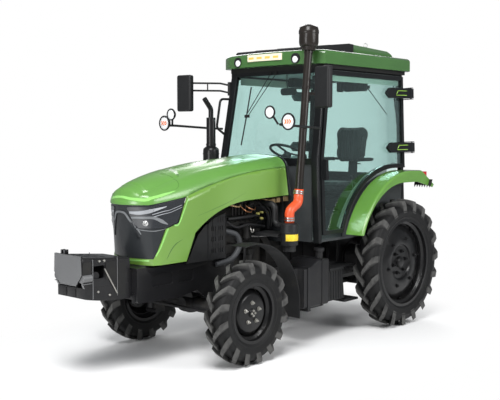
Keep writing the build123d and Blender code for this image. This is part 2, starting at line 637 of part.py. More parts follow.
def exhaust():
    """The muffler beside the right front post, with its stack, turned-out tip and clamps."""
    x, y = EXHAUST
    body = spun(((0, 0), (40, 0), (80, 26), (84, 40), (84, 395), (78, 412), (50, 435), (0, 435)),
                (x, y, 1500), (x, y, 1935))
    upper = rod((x, y, 1930), (x, y, 2235), 48)
    tip = pipe(((x, y, 2235), (x, y, 2325), (x + 95, y, 2430)), 26, 60)
    feed = pipe(((x, y, 1505), (x, y, 1395), (x, -180, 1395), (x, -180, 1241)), 36, 60)
    clamps = rod((x, y, 1940), (x, y, 1962), 53) + rod((x, y, 1560), (x, y, 1574), 87)
    clamps += rod((x, y, 1850), (x, y, 1864), 87)
    return body + upper + tip + feed + clamps


def intake_pipe():
    """The cyclone head, and the long pipe down the left front post with its clamp and bracket."""
    head = spun(
        ((0, 0), (78, 0), (90, 14), (95, 40), (95, 120), (99, 126), (99, 150), (88, 186),
         (50, 208), (0, 214)),
        (1315, 620, 2905), (1315, 620, 3120))
    collar = rod((1318, 620, 2866), (1315, 620, 2908), 62, 74)
    low, high = (INTAKE_LOW[0], 620, INTAKE_LOW[1]), (INTAKE_HIGH[0], 620, INTAKE_HIGH[1])
    tube = rod(low, high, 38)
    along = Vector(*high) - Vector(*low)
    rings = rod(Vector(*low) + along * 0.72, Vector(*low) + along * 0.735, 42)
    rings += rod(Vector(*low) + along * 0.975, Vector(*low) + along * 0.99, 44)
    bracket = block(1095, 1355, 606, 618, 2440, 2470)
    return head + collar + tube + rings + bracket


def intake_elbow():
    """The hose from the pipe's foot to the filter, in line with both at its ends."""
    lean = (INTAKE_LOW[0] - INTAKE_HIGH[0]) / (INTAKE_HIGH[1] - INTAKE_LOW[1])
    x, z = INTAKE_LOW
    path = ((x, 620, z), (x + 130 * lean, 620, z - 130), (1600, 620, 1330), (1600, 620, 1215))
    return pipe(path, 46, 60)


def air_filter():
    """The filter can with its dust cup, cover rings, bracket and outlet hose."""
    can = spun(
        ((0, 0), (62, 0), (62, 56), (84, 62), (84, 168), (88, 172), (88, 186),
         (84, 190), (84, 262), (70, 275), (0, 275)),
        (1600, 620, 940), (1600, 620, 1215))
    bracket = block(1500, 1700, 250, 560, 1080, 1110)
    outlet = pipe(((1600, 560, 1180), (1600, 440, 1180), (1600, 440, 1385), (1600, 268, 1385)), 30, 60)
    return can + bracket + outlet


def seat_base():
    """Suspension bellows, frame under the seat and the spine behind its backrest."""
    box = block(-200, 130, -190, 190, PLATFORM_Z, 1400)
    for z in (1245, 1290, 1335, 1380):
        box -= block(-230, 160, -220, 220, z, z + 14) - block(-188, 118, -178, 178, z - 5, z + 20)
    tray = block(-245, 165, -220, 220, 1400, 1425)
    outline = ((-236, 1402), (-236, 1500), (-302, 1545), (-332, 1950),
               (-346, 1950), (-318, 1540), (-252, 1488), (-252, 1402))
    spine = side(outline, -60, 60)
    return box + tray + spine


def seat_cushions():
    """Seat cushion and backrest, as two separate rounded pads."""
    seat = block(-215, 225, -235, 235, 1426, 1530)
    back = side(((-205, 1545), (-300, 1545), (-345, 2140), (-265, 2160)), -235, 235)
    return fillet(seat.edges(), 24) + fillet(back.edges(), 24)


def lamps():
    """Two work lamps in the roof's front corners and two round lamps on each side arm."""
    bowl = ((0, 0), (46, 0), (58, 8), (78, 34), (79, 46), (74, 46), (68, 38), (0, 40))
    work = rod((1180, 386, 2818), (1238, 386, 2812), 52)
    big = spun(bowl, (1838, 831, 2175), (1900, 831, 2175))
    small = spun([(r * 0.78, d * 0.8) for r, d in bowl], (1908, 663, 2261), (1960, 663, 2261))
    arm = pipe(((1185, 664, 2120), (1330, 700, 2125), (1870, 705, 2150), (1862, 831, 2150)), 12, 40)
    link = rod((1880, 712, 2150), (1920, 663, 2250), 10)
    return both(work + big + small + arm + link)


def roof_light_bar():
    """The lamp at the front edge of the roof, rounded at both ends."""
    bar = block(1215, 1275, -230, 230, 2806, 2874)
    return fillet(bar.edges().filter_by(Axis.Z), 24)


def tail_lamps():
    """The rear lamp blocks that stand in the back of the fenders."""
    lamp = block(-480, -400, 800, 890, 1560, 1650)
    return both(fillet(lamp.faces().sort_by(Axis.X)[0].edges(), 12))


def drawbar():
    """The drawbar on its hanger, the stub of the power take-off and its guard."""
    bar = block(-560, 250, -40, 40, 350, 390)
    frame = block(-240, -200, -150, 150, 340, 450)
    eye = Pos(-520, 0, 370) * Cylinder(15, 60)
    shaft = rod((-282, 0, 690), (-350, 0, 690), 18)
    guard = side(((-250, 790), (-400, 790), (-400, 780), (-250, 780)), -110, 110)
    cheeks = side(((-250, 660), (-250, 780), (-400, 780), (-340, 700)), 100, 110)
    return bar + frame - eye + shaft + guard + both(cheeks)


# ---- three-point linkage -------------------------------------------------------------------
def lift_arm():
    """The left lift arm, bored for its shaft, and the pin that the lift rod hangs on."""
    x0, z0 = LIFT_PIVOT[0], LIFT_PIVOT[2]
    x1, z1 = LIFT_TIP[0], LIFT_TIP[2]
    outline = ((x0 + 60, z0 - 55), (x0 + 60, z0 + 55), (x0, z0 + 65),
               (x1 - 25, z1 + 28), (x1 - 25, z1 - 28))
    arm = side(rounded(outline, 14), LIFT_HALF - 20, LIFT_HALF + 20)
    arm -= rod((x0, LIFT_HALF - 40, z0), (x0, LIFT_HALF + 40, z0), 30 + FIT)
    pin = rod((x1, LIFT_HALF + 10, z1), (x1, LIFT_HALF + 70, z1), 12)
    return arm + pin


def lift_rod():
    """The left lift rod, bored at its head, with a long slot at its foot for float."""
    x1, z1 = LIFT_TIP[0], LIFT_TIP[2]
    x0, z0 = ROD_FOOT
    y = LIFT_HALF + 24
    along = Vector(x0 - x1, 0, z0 - z1)
    bar = rod((x1, y + 11, z1), (x0, y + 11, z0), 13)
    head = rod((x1, y, z1), (x1, y + 22, z1), 30)
    bore = rod((x1, y - 30, z1), (x1, y + 60, z1), 12 + FIT)
    place = Plane(origin=(x0, y + 22, z0), x_dir=along, z_dir=(0, -1, 0))
    eye = place * extrude(SlotOverall(150, 76), amount=22)
    slot = place * Pos(0, 0, -10) * extrude(SlotOverall(150 - 30, 46), amount=60)
    return bar + head - bore + eye - slot


def lower_link():
    """The left lower link: a flat bar with a ball end, and the pin that the lift rod rides on."""
    x0, z0 = LINK_PIVOT[0], LINK_PIVOT[2]
    x1, z1 = LINK_END[0], LINK_END[2]
    bar = side(((x0 + 30, z0 - 30), (x0 + 30, z0 + 30), (x0 - 340, z0 + 10), (x1 + 20, z1 + 28),
                (x1 + 20, z1 - 28), (x0 - 340, z0 - 60)), LINK_HALF, LINK_HALF + 22)
    pin = rod((ROD_FOOT[0], LIFT_HALF + 20, ROD_FOOT[1]), (ROD_FOOT[0], LINK_HALF, ROD_FOOT[1]), 12)
    ball = rod((x1, LINK_HALF - 12, z1), (x1, LINK_HALF + 34, z1), 40)
    hole = rod((x1, 0, z1), (x1, 500, z1), 14.3)
    bore = rod((x0, LINK_HALF - 40, z0), (x0, LINK_HALF + 60, z0), 16 + FIT)
    return bar - bore + ball - hole + pin


# ---- bonnet ---------------------------------------------------------------------------
def bonnet_section(station, inset):
    """One station's outline: a crown arc, a shoulder arc and a flat flank on each side."""
    x, half, edge_z, crown_z, crease, crease_z, foot, foot_z = station
    half, crease, foot = half - inset * 0.7, crease - inset, foot - inset
    edge_z, crown_z, crease_z = edge_z - inset, crown_z - inset, crease_z - inset * 0.35
    foot_z -= 200 if inset > 0 else 0
    bulge = ((half + crease) / 2 + (crease - half) * 0.16,
             (edge_z + crease_z) / 2 + (edge_z - crease_z) * 0.14)
    line = (
        ThreePointArc((-half, edge_z), (0, crown_z), (half, edge_z))
        + ThreePointArc((half, edge_z), bulge, (crease, crease_z))
        + Polyline((crease, crease_z), (foot, foot_z), (-foot, foot_z), (-crease, crease_z))
        + ThreePointArc((-crease, crease_z), (-bulge[0], bulge[1]), (-half, edge_z))
    )
    return Plane.YZ.offset(x) * make_face(line)


def nose_outline(corner, middle_x, inset):
    """The nose seen from above at one height: straight flanks and one arc across the front."""
    x, y = corner[0] - inset, corner[1] + 200
    return (
        Polyline((900, -y), (900, y), (x - 340, y), (x, corner[1]))
        + ThreePointArc((x, corner[1]), (middle_x - inset, 0), (x, -corner[1]))
        + Polyline((x, -corner[1]), (x - 340, -y), (900, -y))
    )


def nose_block(inset):
    """Everything behind the nose's curved front, which leans forward towards the top lip."""
    low = Plane.XY.offset(700) * make_face(nose_outline((2990, 272), 3052, inset))
    foot = Plane.XY.offset(NOSE_FOOT_Z) * make_face(nose_outline(FOOT_CORNER, FOOT_MIDDLE_X, inset))
    lip = Plane.XY.offset(NOSE_LIP_Z) * make_face(nose_outline(NOSE_CORNER, NOSE_MIDDLE_X, inset))
    top = Plane.XY.offset(1900) * make_face(nose_outline((2880, 252), 3000, inset))
    return loft([low, foot], ruled=True) + loft([foot, lip], ruled=True) + loft([lip, top], ruled=True)


def bonnet_body(inset):
    """The whole bonnet as a solid, its skin moved inwards by an inset."""
    return loft([bonnet_section(station, inset) for station in BONNET_STATIONS]) & nose_block(inset)


def bonnet_lower_cut():
    """What is cut away below the bonnet's side: the open engine bay behind the cheeks."""
    line = Polyline((1300, 600), (1300, 1466), (1900, 1440)) + ThreePointArc(
        (1900, 1440), (2400, 1305), (2584, 1181)
    ) + Polyline((2584, 1181), (2693, 935), (3300, 915), (3300, 600), (1300, 600))
    return side(make_face(line), -600, 600)


def mask_region():
    """The front of the nose in side view: everything ahead of the green cheeks."""
    outline = ((2673, 1509), (2763, 1278), (2900, 1237), (3000, 1020),
               (3018, 980), (3300, 980), (3300, 1452), (3060, 1452))
    return side(outline, -600, 600)


def panel_groove():
    """The thin line between the bonnet's top panel and its side, on both sides."""
    upper = ThreePointArc((1380, 1737), (2198, 1645), (2690, 1510))
    lower = ThreePointArc((2690, 1505), (2198, 1640), (1380, 1732))
    line = upper + Line((2690, 1510), (2690, 1505)) + lower + Line((1380, 1732), (1380, 1737))
    strip = side(make_face(line), 250, 600)
    return both(strip)


def headlight_region():
    """Where the left headlight's clear lens lies, in side view and in front view."""
    outline = ((2690, 1497), (3060, 1436), (3250, 1430), (3250, 1250),
               (3060, 1250), (2905, 1245), (2780, 1290))
    flank = side(outline, 60, 600)
    return flank & front(((85, 1423), (400, 1640), (400, 1180), (160, 1180), (128, 1300)), 2600, 3300)


def shield_region():
    """The raised frame down the middle of the grille, seen from ahead."""
    outer = ((-65, 1390), (65, 1390), (122, 1285), (176, 1172), (156, 1166), (104, 1278),
             (54, 1370), (-54, 1370), (-104, 1278), (-156, 1166), (-176, 1172), (-122, 1285))
    return front(outer, 2900, 3300)


def bonnet(body, inner):
    """The one-piece bonnet: top with its raised middle, cheeks and sides."""
    skin = body - inner - bonnet_lower_cut() - mask_region()
    skin -= (body - bonnet_body(2.5)) & panel_groove()
    middle = plan(rounded(((2640, -200), (2640, 200), (3040, 196), (3040, -196)), 40), 1500, 1900)
    plateau = (bonnet_body(-3) - bonnet_body(1)) & middle
    lip = (body - bonnet_body(14)) & block(2990, 3300, -240, 240, 926, 978)
    lugs = block(1385, 1420, 158, 166, 1826, 1850)
    lugs -= rod((BONNET_PIN[0], 100, BONNET_PIN[1]), (BONNET_PIN[0], 240, BONNET_PIN[1]), 5 + FIT)
    return skin + plateau + lip + (both(lugs) & body)


def nose_mask(shelf):
    """The dark front: a recessed grille, its raised frame, and the shelf behind the lamps."""
    panel = (shelf - bonnet_body(16)) & mask_region()
    frame = (bonnet_body(1) - bonnet_body(12)) & shield_region() & mask_region()
    panel -= both(headlight_region())
    return panel + (frame - both(headlight_region()))


def headlights(body):
    """Both clear lenses, let 2 mm into the bonnet's skin and 46 mm deep."""
    return (bonnet_body(2) - bonnet_body(46)) & both(headlight_region())


def bonnet_surround():
    """The dark hoop behind the bonnet, the bulkhead under it and the bonnet's hinge pins."""
    station = BONNET_STATIONS[0]
    hoop = extrude(Pos(1346 - station[0], 0, 0) * bonnet_section(station, -2), amount=24)
    hoop -= extrude(Pos(1340 - station[0], 0, 0) * bonnet_section(station, 26), amount=40)
    hoop -= block(1300, 1400, -600, 600, 1000, 1455)
    foot = plan(((1346, -330), (1346, 330), (1352, 330), (1352, -330)), 985, 1460)
    plate = extrude(Pos(1346 - station[0], 0, 0) * bonnet_section(station, 20), amount=6)
    plate -= block(1300, 1400, -600, 600, 1000, 1455)
    x, z = BONNET_PIN
    pins = rod((x, 140, z), (x, 170, z), 5) + block(1350, x + 6, 140, 150, z - 22, z - 3)
    return hoop + foot + plate + both(pins)


# ---- doors ---------------------------------------------------------------------------------
def door_plane():
    """The left side of the cab: x forward and y up the leaning side, its outward normal -Z."""
    lean = math.atan(TUMBLE)
    return Plane(origin=(0, WIDE_Y, 1000), x_dir=(1, 0, 0), z_dir=(0, -math.cos(lean), -math.sin(lean)))


def door_outline(inset):
    """The door's edge: straight front and top, and a foot cut round the rear wheel."""
    low, high = 60 + inset, 1700 - inset
    front_x, rear_x = 1162 - inset, -370 + inset
    lift = DOOR_GAP + inset
    crest = (ARCH_X, arch_point(lift, None)[1] - 1000)
    middle = (arch_at(lift, 55)[0], arch_at(lift, 55)[1] - 1000)
    foot = (arch_point(lift, low + 1000)[0], low)
    return (
        Polyline((front_x, low), (front_x, 820), (1020 - inset, high), (rear_x, high), (rear_x, crest[1]))
        + Line((rear_x, crest[1]), crest)
        + ThreePointArc(crest, middle, foot)
        + Line(foot, (front_x, low))
    )


def door_leaf(inset, thick, lift):
    """A flat sheet in the door's outline, made smaller by an inset and lifted off the door plane."""
    leaf = extrude(make_face(door_outline(inset)), amount=thick)
    return door_plane() * Pos(0, 0, lift) * leaf


def hinge_cover(height):
    """A hinge arm and its pointed cover, bored for the pin, at one height up the door."""
    outline = ((-428, -52), (-428, 52), (-60, 56), (10, 0), (-60, -56))
    cover = Pos(0, height, -98) * extrude(make_face(Polyline(*outline, close=True)), amount=98)
    wedge = ((-430, -98), (-430, -58), (-366, 0), (20, 0), (20, -24), (-60, -34), (-330, -92), (-380, -98))
    profile = extrude(Plane.XZ * make_face(Polyline(*wedge, close=True)), amount=120)
    bore = Pos(-400, height, -HINGE_OUT) * Rot(90, 0, 0) * Cylinder(8 + FIT, 200)
    return door_plane() * ((cover & (Pos(0, height + 60, 0) * profile)) - bore)


def hinge_bracket(height):
    """The fixed half of a door hinge: two plates on the rear post and the pin between them."""
    plate = Pos(-400, height, -24) * Box(50, 7, 144)
    pin = Pos(-400, height, -HINGE_OUT) * Rot(90, 0, 0) * Cylinder(8, 130)
    return door_plane() * (Pos(0, 61, 0) * plate + Pos(0, -61, 0) * plate + pin)


def door():
    """The left door: a thin frame, its rubber-edged foot, its handle and two hinge covers."""
    frame = door_leaf(0, DOOR_THICK, 0) - door_leaf(42, DOOR_THICK + 40, -20)
    handle = door_plane() * Pos(1120, 710, -20) * Box(40, 200, 40)
    pull = door_plane() * Pos(1040, 700, 62) * Box(24, 200, 20)
    pull += door_plane() * (Pos(1060, 790, 45) * Box(60, 16, 50) + Pos(1060, 610, 45) * Box(60, 16, 50))
    return frame + handle + pull + hinge_cover(915) + hinge_cover(1510)


def door_glass():
    """The pane that fills the door's frame."""
    return door_leaf(42.2, 6, 12)


# ---- writing the files -----------------------------------------------------------------------
def save(name, shape):
    """One file for one node, moved so that the tractor's middle is the origin."""
    export_step(Pos(-MID_X, 0, 0) * shape, f"parts/{name}.step")


def middle_pieces():
    """Every piece that is made whole, with both its sides."""
    body, inner, shelf = bonnet_body(0), bonnet_body(BONNET_SKIN), bonnet_body(9)
    return {
        "front_weight_bracket": front_weight_bracket(),
        "front_support": front_support(),
        "front_axle": front_axle(),
        "track_rod": track_rod(),
        "engine": engine(),
        "radiator_screens": radiator_screens(),
        "gearbox": gearbox(),
        "fuel_tanks": fuel_tank(),
        "battery_boxes": battery_box(),
        "bonnet_surround": bonnet_surround(),
        "cab_frame": cab_frame(),
        "cab_floor": cab_floor(),
        "roof": roof(),
        "roof_cover": roof_cover(),
        "roof_light_bar": roof_light_bar(),
        "cab_glass": cab_glass(),
        "rear_fenders": both(rear_fender()),
        "dashboard": dashboard(),
        "steering_wheel": steering_wheel(),
        "mirrors": mirrors(),
        "exhaust": exhaust(),
        "intake_pipe": intake_pipe(),
        "intake_elbow": intake_elbow(),
        "air_filter": air_filter(),
        "seat_base": seat_base(),
        "seat_cushions": seat_cushions(),
        "lamps": lamps(),
        "tail_lamps": tail_lamps(),
        "drawbar": drawbar(),
        "lift_arms": both(lift_arm()),
        "lift_rods": both(lift_rod()),
        "lower_links": both(lower_link()),
        "bonnet": bonnet(body, inner),
        "nose_mask": nose_mask(shelf),
        "headlights": headlights(body),
    }


def left_pieces():
    """Every piece that is made on the left and has a copy on the right."""
    return {
        "front_knuckle": knuckle(),
        "front_mudguard": mudguard(),
        "front_wheel": front_wheel(),
        "front_tyre": tyre(FRONT_TYRE_R, FRONT_TYRE_W, FRONT_RIM_R, FRONT_HUB),
        "rear_wheel": rear_wheel(),
        "rear_tyre": tyre(REAR_TYRE_R, REAR_TYRE_W, REAR_RIM_R, REAR_HUB),
        "door": door(),
        "door_glass": door_glass(),
    }


def main():
    """Make every piece, cut back the pieces that meet, and write the files."""
    os.makedirs("parts", exist_ok=True)
    pieces = middle_pieces()
    for name in ("cab_floor", "cab_glass", "mirrors", "intake_pipe"):
        pieces[name] -= pieces["cab_frame"]
    pieces["dashboard"] -= pieces["cab_floor"]
    pieces["roof"] -= pieces["lamps"] + pieces["roof_light_bar"]
    pieces["rear_fenders"] -= pieces["tail_lamps"]
    for name, shape in left_pieces().items():
        pieces[name + "_left"] = shape
        pieces[name + "_right"] = right_of(shape)
    for name, shape in pieces.items():
        save(name, shape)
    print(len(pieces), "pieces")


main()
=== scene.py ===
# %% [markdown]
# # A compact cab tractor
#
# The CAD model already holds every solid at its true size. This file gives it its looks:
# smooth edges, paint, rubber, glass and the small fittings that a CAD model leaves out.
# Everything is in metres, +X is forward, +Y is to the operator's left and +Z is up.

# %% Load the frame
import json
import math

import bmesh
import bpy
import numpy as np
from mathutils import Matrix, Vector
from mathutils.bvhtree import BVHTree


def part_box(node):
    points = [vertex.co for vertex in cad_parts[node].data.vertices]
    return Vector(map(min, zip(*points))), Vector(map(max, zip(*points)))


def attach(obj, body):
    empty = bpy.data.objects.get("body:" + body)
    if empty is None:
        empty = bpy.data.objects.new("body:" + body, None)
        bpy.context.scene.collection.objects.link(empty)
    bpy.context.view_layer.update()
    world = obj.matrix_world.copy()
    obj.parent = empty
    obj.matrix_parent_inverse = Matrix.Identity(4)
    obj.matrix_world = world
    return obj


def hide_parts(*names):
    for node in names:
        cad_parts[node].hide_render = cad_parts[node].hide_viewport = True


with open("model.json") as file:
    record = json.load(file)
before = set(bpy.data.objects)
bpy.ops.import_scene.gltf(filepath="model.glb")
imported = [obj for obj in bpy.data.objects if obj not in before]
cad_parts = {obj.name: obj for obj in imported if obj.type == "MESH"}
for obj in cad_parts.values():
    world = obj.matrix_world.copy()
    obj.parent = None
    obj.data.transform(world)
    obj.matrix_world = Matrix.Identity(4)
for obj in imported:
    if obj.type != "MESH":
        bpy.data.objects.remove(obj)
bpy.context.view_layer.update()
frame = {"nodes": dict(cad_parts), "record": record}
nodes = frame["nodes"]
BODY_OF = {node: body for body, held in frame["record"]["behaviour"]["bodies"].items() for node in held}

# %% [markdown]
# ## The main places on the machine
#
# A new piece has to sit where the CAD puts it, so a wheel's middle is read from its node's own
# box. Small fittings are placed in millimetres from the rear axle and the ground, as the CAD is.

# %% Key places
REAR_X = -1.440


def middle_of(node):
    """The centre of a node's box, as an array."""
    low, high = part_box(node)
    return (np.array(low) + np.array(high)) / 2


def place(x, y, z):
    """A point given in millimetres from the rear axle's line and the ground."""
    return np.array([x / 1000 + REAR_X, y / 1000, z / 1000])


print("front wheel's middle:", middle_of("front_tyre_left").round(4))

# %% [markdown]
# ## Meshes from arrays
#
# Most fittings are surfaces with a formula: a profile turned about an axle, a section carried
# along a path, or a grid over a panel. They could be made from primitives and modifiers, or by
# adding vertices one at a time. Working the points out as one numpy array and handing the whole
# array to Blender is quicker, and the formula stays in sight. Each piece gets its finish and rides
# on a body.


def link(name, data):
    """A new object in the scene."""
    thing = bpy.data.objects.new(name, data)
    bpy.context.collection.objects.link(thing)
    return thing


def shade_smooth(mesh, angle):
    """Smooth shading, with hard edges where faces meet at more than an angle in degrees."""
    mesh.polygons.foreach_set("use_smooth", np.ones(len(mesh.polygons), bool))
    mesh.set_sharp_from_angle(angle=math.radians(angle))


def add_piece(name, points, faces, body, finish, smooth=30):
    """Make a mesh from arrays, shade it smooth up to an angle, and let it ride on a body."""
    mesh = bpy.data.meshes.new(name)
    mesh.from_pydata(np.asarray(points, float).reshape(-1, 3).tolist(), [], [list(f) for f in faces])
    shade_smooth(mesh, smooth)
    mesh.materials.append(finish)
    piece = link(name, mesh)
    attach(piece, body)
    return piece


# %% [markdown]
# ## Shader maths as expressions
#
# A procedural finish is arithmetic on patterns: dust gathers low down, so its mask is a falling
# line times a noise. Wrapping a socket in a small class lets that be written as an expression,
# and each operator adds its Math node behind the scenes.

# %% The finish kit
class Wire:
    """A number or colour that a node gives. Arithmetic on it adds Math nodes."""

    def __init__(self, owner, socket):
        self.owner, self.socket = owner, socket

    def _math(self, operation, first, second=0.0):
        return self.owner.node("ShaderNodeMath", {"operation": operation}, {0: first, 1: second})

    def __add__(self, other):
        return self._math("ADD", self, other)

    def __sub__(self, other):
        return self._math("SUBTRACT", self, other)

    def __rsub__(self, other):
        return self._math("SUBTRACT", other, self)

    def __mul__(self, other):
        return self._math("MULTIPLY", self, other)

    def __truediv__(self, other):
        return self._math("DIVIDE", self, other)

    __radd__, __rmul__ = __add__, __mul__

    def clamp(self):
        return self._math("MAXIMUM", self._math("MINIMUM", self, 1.0), 0.0)

    def power(self, exponent):
        return self._math("POWER", self, exponent)


class Nodes:
    """A node tree, with a short way to add a node whose inputs are numbers, colours or wires."""

    def __init__(self, tree):
        self.tree = tree

    def node(self, kind, settings, values, output=0):
        """Add a node: its settings first, then the values or links of its sockets."""
        made = self.tree.nodes.new(kind)
        for key, value in settings.items():
            setattr(made, key, value)
        for key, value in values.items():
            self.plug(made.inputs[key], value)
        return Wire(self, made.outputs[output])

    def plug(self, socket, value):
        if isinstance(value, Wire):
            self.tree.links.new(value.socket, socket)
        elif isinstance(value, tuple) and len(value) == 3 and socket.type == "RGBA":
            socket.default_value = (*value, 1)
        else:
            socket.default_value = value

    def surface(self, factor, first, second, output="Material Output"):
        """Put out shader first where the factor is 0 and second where it is 1."""
        both = self.node("ShaderNodeMixShader", {}, {0: factor, 1: first, 2: second})
        self.plug(self.tree.nodes[output].inputs["Surface"], both)


class Finish(Nodes):
    """One material: a Principled shader whose constants are set on its own sockets."""

    def __init__(self, name, **constants):
        self.material = bpy.data.materials.new(name)
        self.material.use_nodes = True
        super().__init__(self.material.node_tree)
        self.shader = self.tree.nodes["Principled BSDF"]
        for key, value in constants.items():
            self.shader.inputs[key.replace("_", " ").title().replace("Ior", "IOR")].default_value = value

    def where(self):
        """Object coordinates, in metres in the tractor's own frame."""
        return self.node("ShaderNodeTexCoord", {}, {}, "Object")

    def axis(self, name):
        return self.node("ShaderNodeSeparateXYZ", {}, {"Vector": self.where()}, name)

    def noise(self, scale, detail):
        """Smooth noise from 0 to 1, about one feature per 1/scale metres."""
        return self.node("ShaderNodeTexNoise", {},
                         {"Vector": self.where(), "Scale": scale, "Detail": detail})

    def waves(self, direction, scale):
        """Parallel stripes from 0 to 1, square to an axis."""
        return self.node("ShaderNodeTexWave", {"bands_direction": direction},
                         {"Vector": self.where(), "Scale": scale}, 1)

    def ramp(self, value, low, high):
        """0 below low, 1 above high, and a smooth step between them."""
        return self.node("ShaderNodeMapRange", {"interpolation_type": "SMOOTHSTEP"},
                         {"Value": value, "From Min": low, "From Max": high})

    def attribute(self, name):
        return self.node("ShaderNodeAttribute", {"attribute_name": name}, {}, "Fac")

    def mix(self, factor, first, second):
        """Colour first where the factor is 0 and second where it is 1."""
        return self.node("ShaderNodeMix", {"data_type": "RGBA"}, {0: factor, 6: first, 7: second}, 2)

    def feed(self, socket, value):
        self.plug(self.shader.inputs[socket], value)

    def bump(self, height, strength, distance):
        self.feed("Normal", self.node("ShaderNodeBump", {}, {"Height": height, "Strength": strength,
                                                             "Distance": distance}))


print("finish kit ready")

# %% [markdown]
# ## Paint
#
# The bonnet's paint is a bright leaf green under clear lacquer. Real lacquer isn't a perfect
# mirror: it has a faint orange-peel ripple, and a working machine carries a little dust that
# gets thicker towards the ground. Both come from noise on Object coordinates, so the pattern
# stays on a panel when the panel opens.

# %% Painted finishes
DUST = (0.30, 0.27, 0.21)


def painted(name, shade, darker, roughness=0.22, coat=1.0, dust=0.10, peel=0.035):
    """Lacquered paint: two close shades, orange peel, and dust that thins out with height."""
    paint = Finish(name, coat_roughness=0.14, coat_ior=1.42, coat_weight=coat, metallic=0.0,
                   specular_ior_level=0.5 if max(shade) > 0.05 else 0.2)
    cloud = paint.noise(1.7, 4)
    speck = paint.noise(420, 2)
    low_down = 1 - paint.ramp(paint.axis("Z"), 0.25, 1.9)
    film = (low_down * paint.ramp(paint.noise(5, 6), 0.48, 0.80) * dust + dust * 0.04 * speck).clamp()
    colour = paint.mix(paint.ramp(cloud, 0.3, 0.7), darker, shade)
    paint.feed("Base Color", paint.mix(film, colour, DUST))
    paint.feed("Roughness", (roughness + film * 0.9 + speck * 0.05).clamp())
    paint.bump(paint.noise(260, 2) * 0.7 + paint.noise(38, 2), peel, 0.002)
    return paint.material


PANEL_LINE = (1.734, 0.0133, 0.1238)  # height in metres, then its fall per metre and metre squared


def split_paint():
    """The bonnet's green: brighter above the panel line, and a shade more olive below it."""
    paint = Finish("bonnet_green", coat_roughness=0.20, coat_ior=1.42, coat_weight=0.7)
    height, ahead = paint.axis("Z"), paint.axis("X") - (REAR_X + 1.39)
    start, slope, curve = PANEL_LINE
    below = 1 - paint.ramp(height - (start - ahead * slope - ahead * ahead * curve), -0.004, 0.001)
    cheek = 1 - paint.ramp(height, 1.02, 1.08)
    cloud = paint.ramp(paint.noise(1.3, 4), 0.3, 0.7)
    bright = paint.mix(cloud, (0.098, 0.250, 0.044), (0.108, 0.272, 0.050))
    olive = paint.mix(cloud, (0.120, 0.248, 0.034), (0.130, 0.266, 0.038))
    speck = paint.noise(420, 2)
    dust = (paint.ramp(paint.noise(6, 6), 0.5, 0.8) * (0.012 + cheek * 0.03)).clamp()
    paint.feed("Base Color", paint.mix(dust, paint.mix(below, bright, olive), DUST))
    paint.feed("Roughness", 0.34 + dust * 0.5 + speck * 0.04)
    paint.bump(paint.noise(240, 2) * 0.6 + paint.noise(30, 2), 0.03, 0.002)
    return paint.material


bonnet_green = split_paint()
fender_green = painted("fender_green", (0.112, 0.270, 0.044), (0.100, 0.244, 0.038), 0.22, dust=0.03)
roof_green = painted("roof_green", (0.048, 0.140, 0.032), (0.042, 0.124, 0.028), 0.24, dust=0.02)
chassis_black = painted("chassis_black", (0.011, 0.011, 0.012), (0.008, 0.008, 0.009), 0.30, 0.18,
                        0.03, 0.05)
cab_black = painted("cab_black", (0.010, 0.011, 0.012), (0.008, 0.009, 0.010), 0.26, 0.25, 0.02)
wheel_black = painted("wheel_black", (0.0065, 0.0065, 0.007), (0.005, 0.005, 0.0055), 0.34, 0.25, 0.015)
# A lighter grey, used on the weight bracket's ribs and spacer, and on its forward faces as painted light
# from the front.
plate_grey = painted("plate_grey", (0.115, 0.117, 0.120), (0.100, 0.102, 0.105), 0.34, 0.3, 0.05, 0.06)
hinge_lime = painted("hinge_lime", (0.34, 0.62, 0.06), (0.30, 0.56, 0.05), 0.3)
print("paints made")

# %% [markdown]
# ## Castings, plastics, rubber and glass
#
# A casting is painted over sand-rough metal, so its bump is coarser and its dust heavier.
# Grained plastic has a fine leather-like cell pattern. Rubber is nearly black and dull, and its
# lug tops are grey where the ground has scuffed them: that mask is an attribute on the mesh.

# %% Cast, plastic and rubber finishes
def cast(name, shade, dust=0.07, metallic=0.0):
    """Sand-cast metal under thin paint: coarse grain, soft stains and dust in patches."""
    metal = Finish(name, specular_ior_level=0.26, metallic=metallic)
    grain, stain = metal.noise(190, 4), metal.noise(9, 6)
    film = (metal.ramp(stain, 0.48, 0.80) * dust * (1.2 - metal.axis("Z") * 0.5)).clamp()
    darker = tuple(part * 0.6 for part in shade)
    metal.feed("Base Color", metal.mix(film, metal.mix(metal.ramp(grain, 0.3, 0.7), darker, shade), DUST))
    metal.feed("Roughness", (0.40 + grain * 0.16 + film * 0.6).clamp())
    metal.bump(grain + stain * 0.5, 0.22, 0.003)
    return metal.material


def moulded(name, shade, roughness=0.42, grain=900, depth=0.10, dust=0.025):
    """Moulded plastic with a fine cell grain."""
    plastic = Finish(name, specular_ior_level=0.26)
    cells = plastic.node("ShaderNodeTexVoronoi", {"feature": "F1"},
                         {"Vector": plastic.where(), "Scale": grain}, 0)
    film = (plastic.ramp(plastic.noise(7, 5), 0.5, 0.8) * dust * (1.5 - plastic.axis("Z") * 0.5)).clamp()
    lighter = tuple(part * 1.35 + 0.002 for part in shade)
    plastic.feed("Base Color", plastic.mix(film, plastic.mix(plastic.noise(11, 4), shade, lighter), DUST))
    plastic.feed("Roughness", (roughness + cells * 0.10 + film * 0.4).clamp())
    plastic.bump(cells, depth, 0.0006)
    return plastic.material


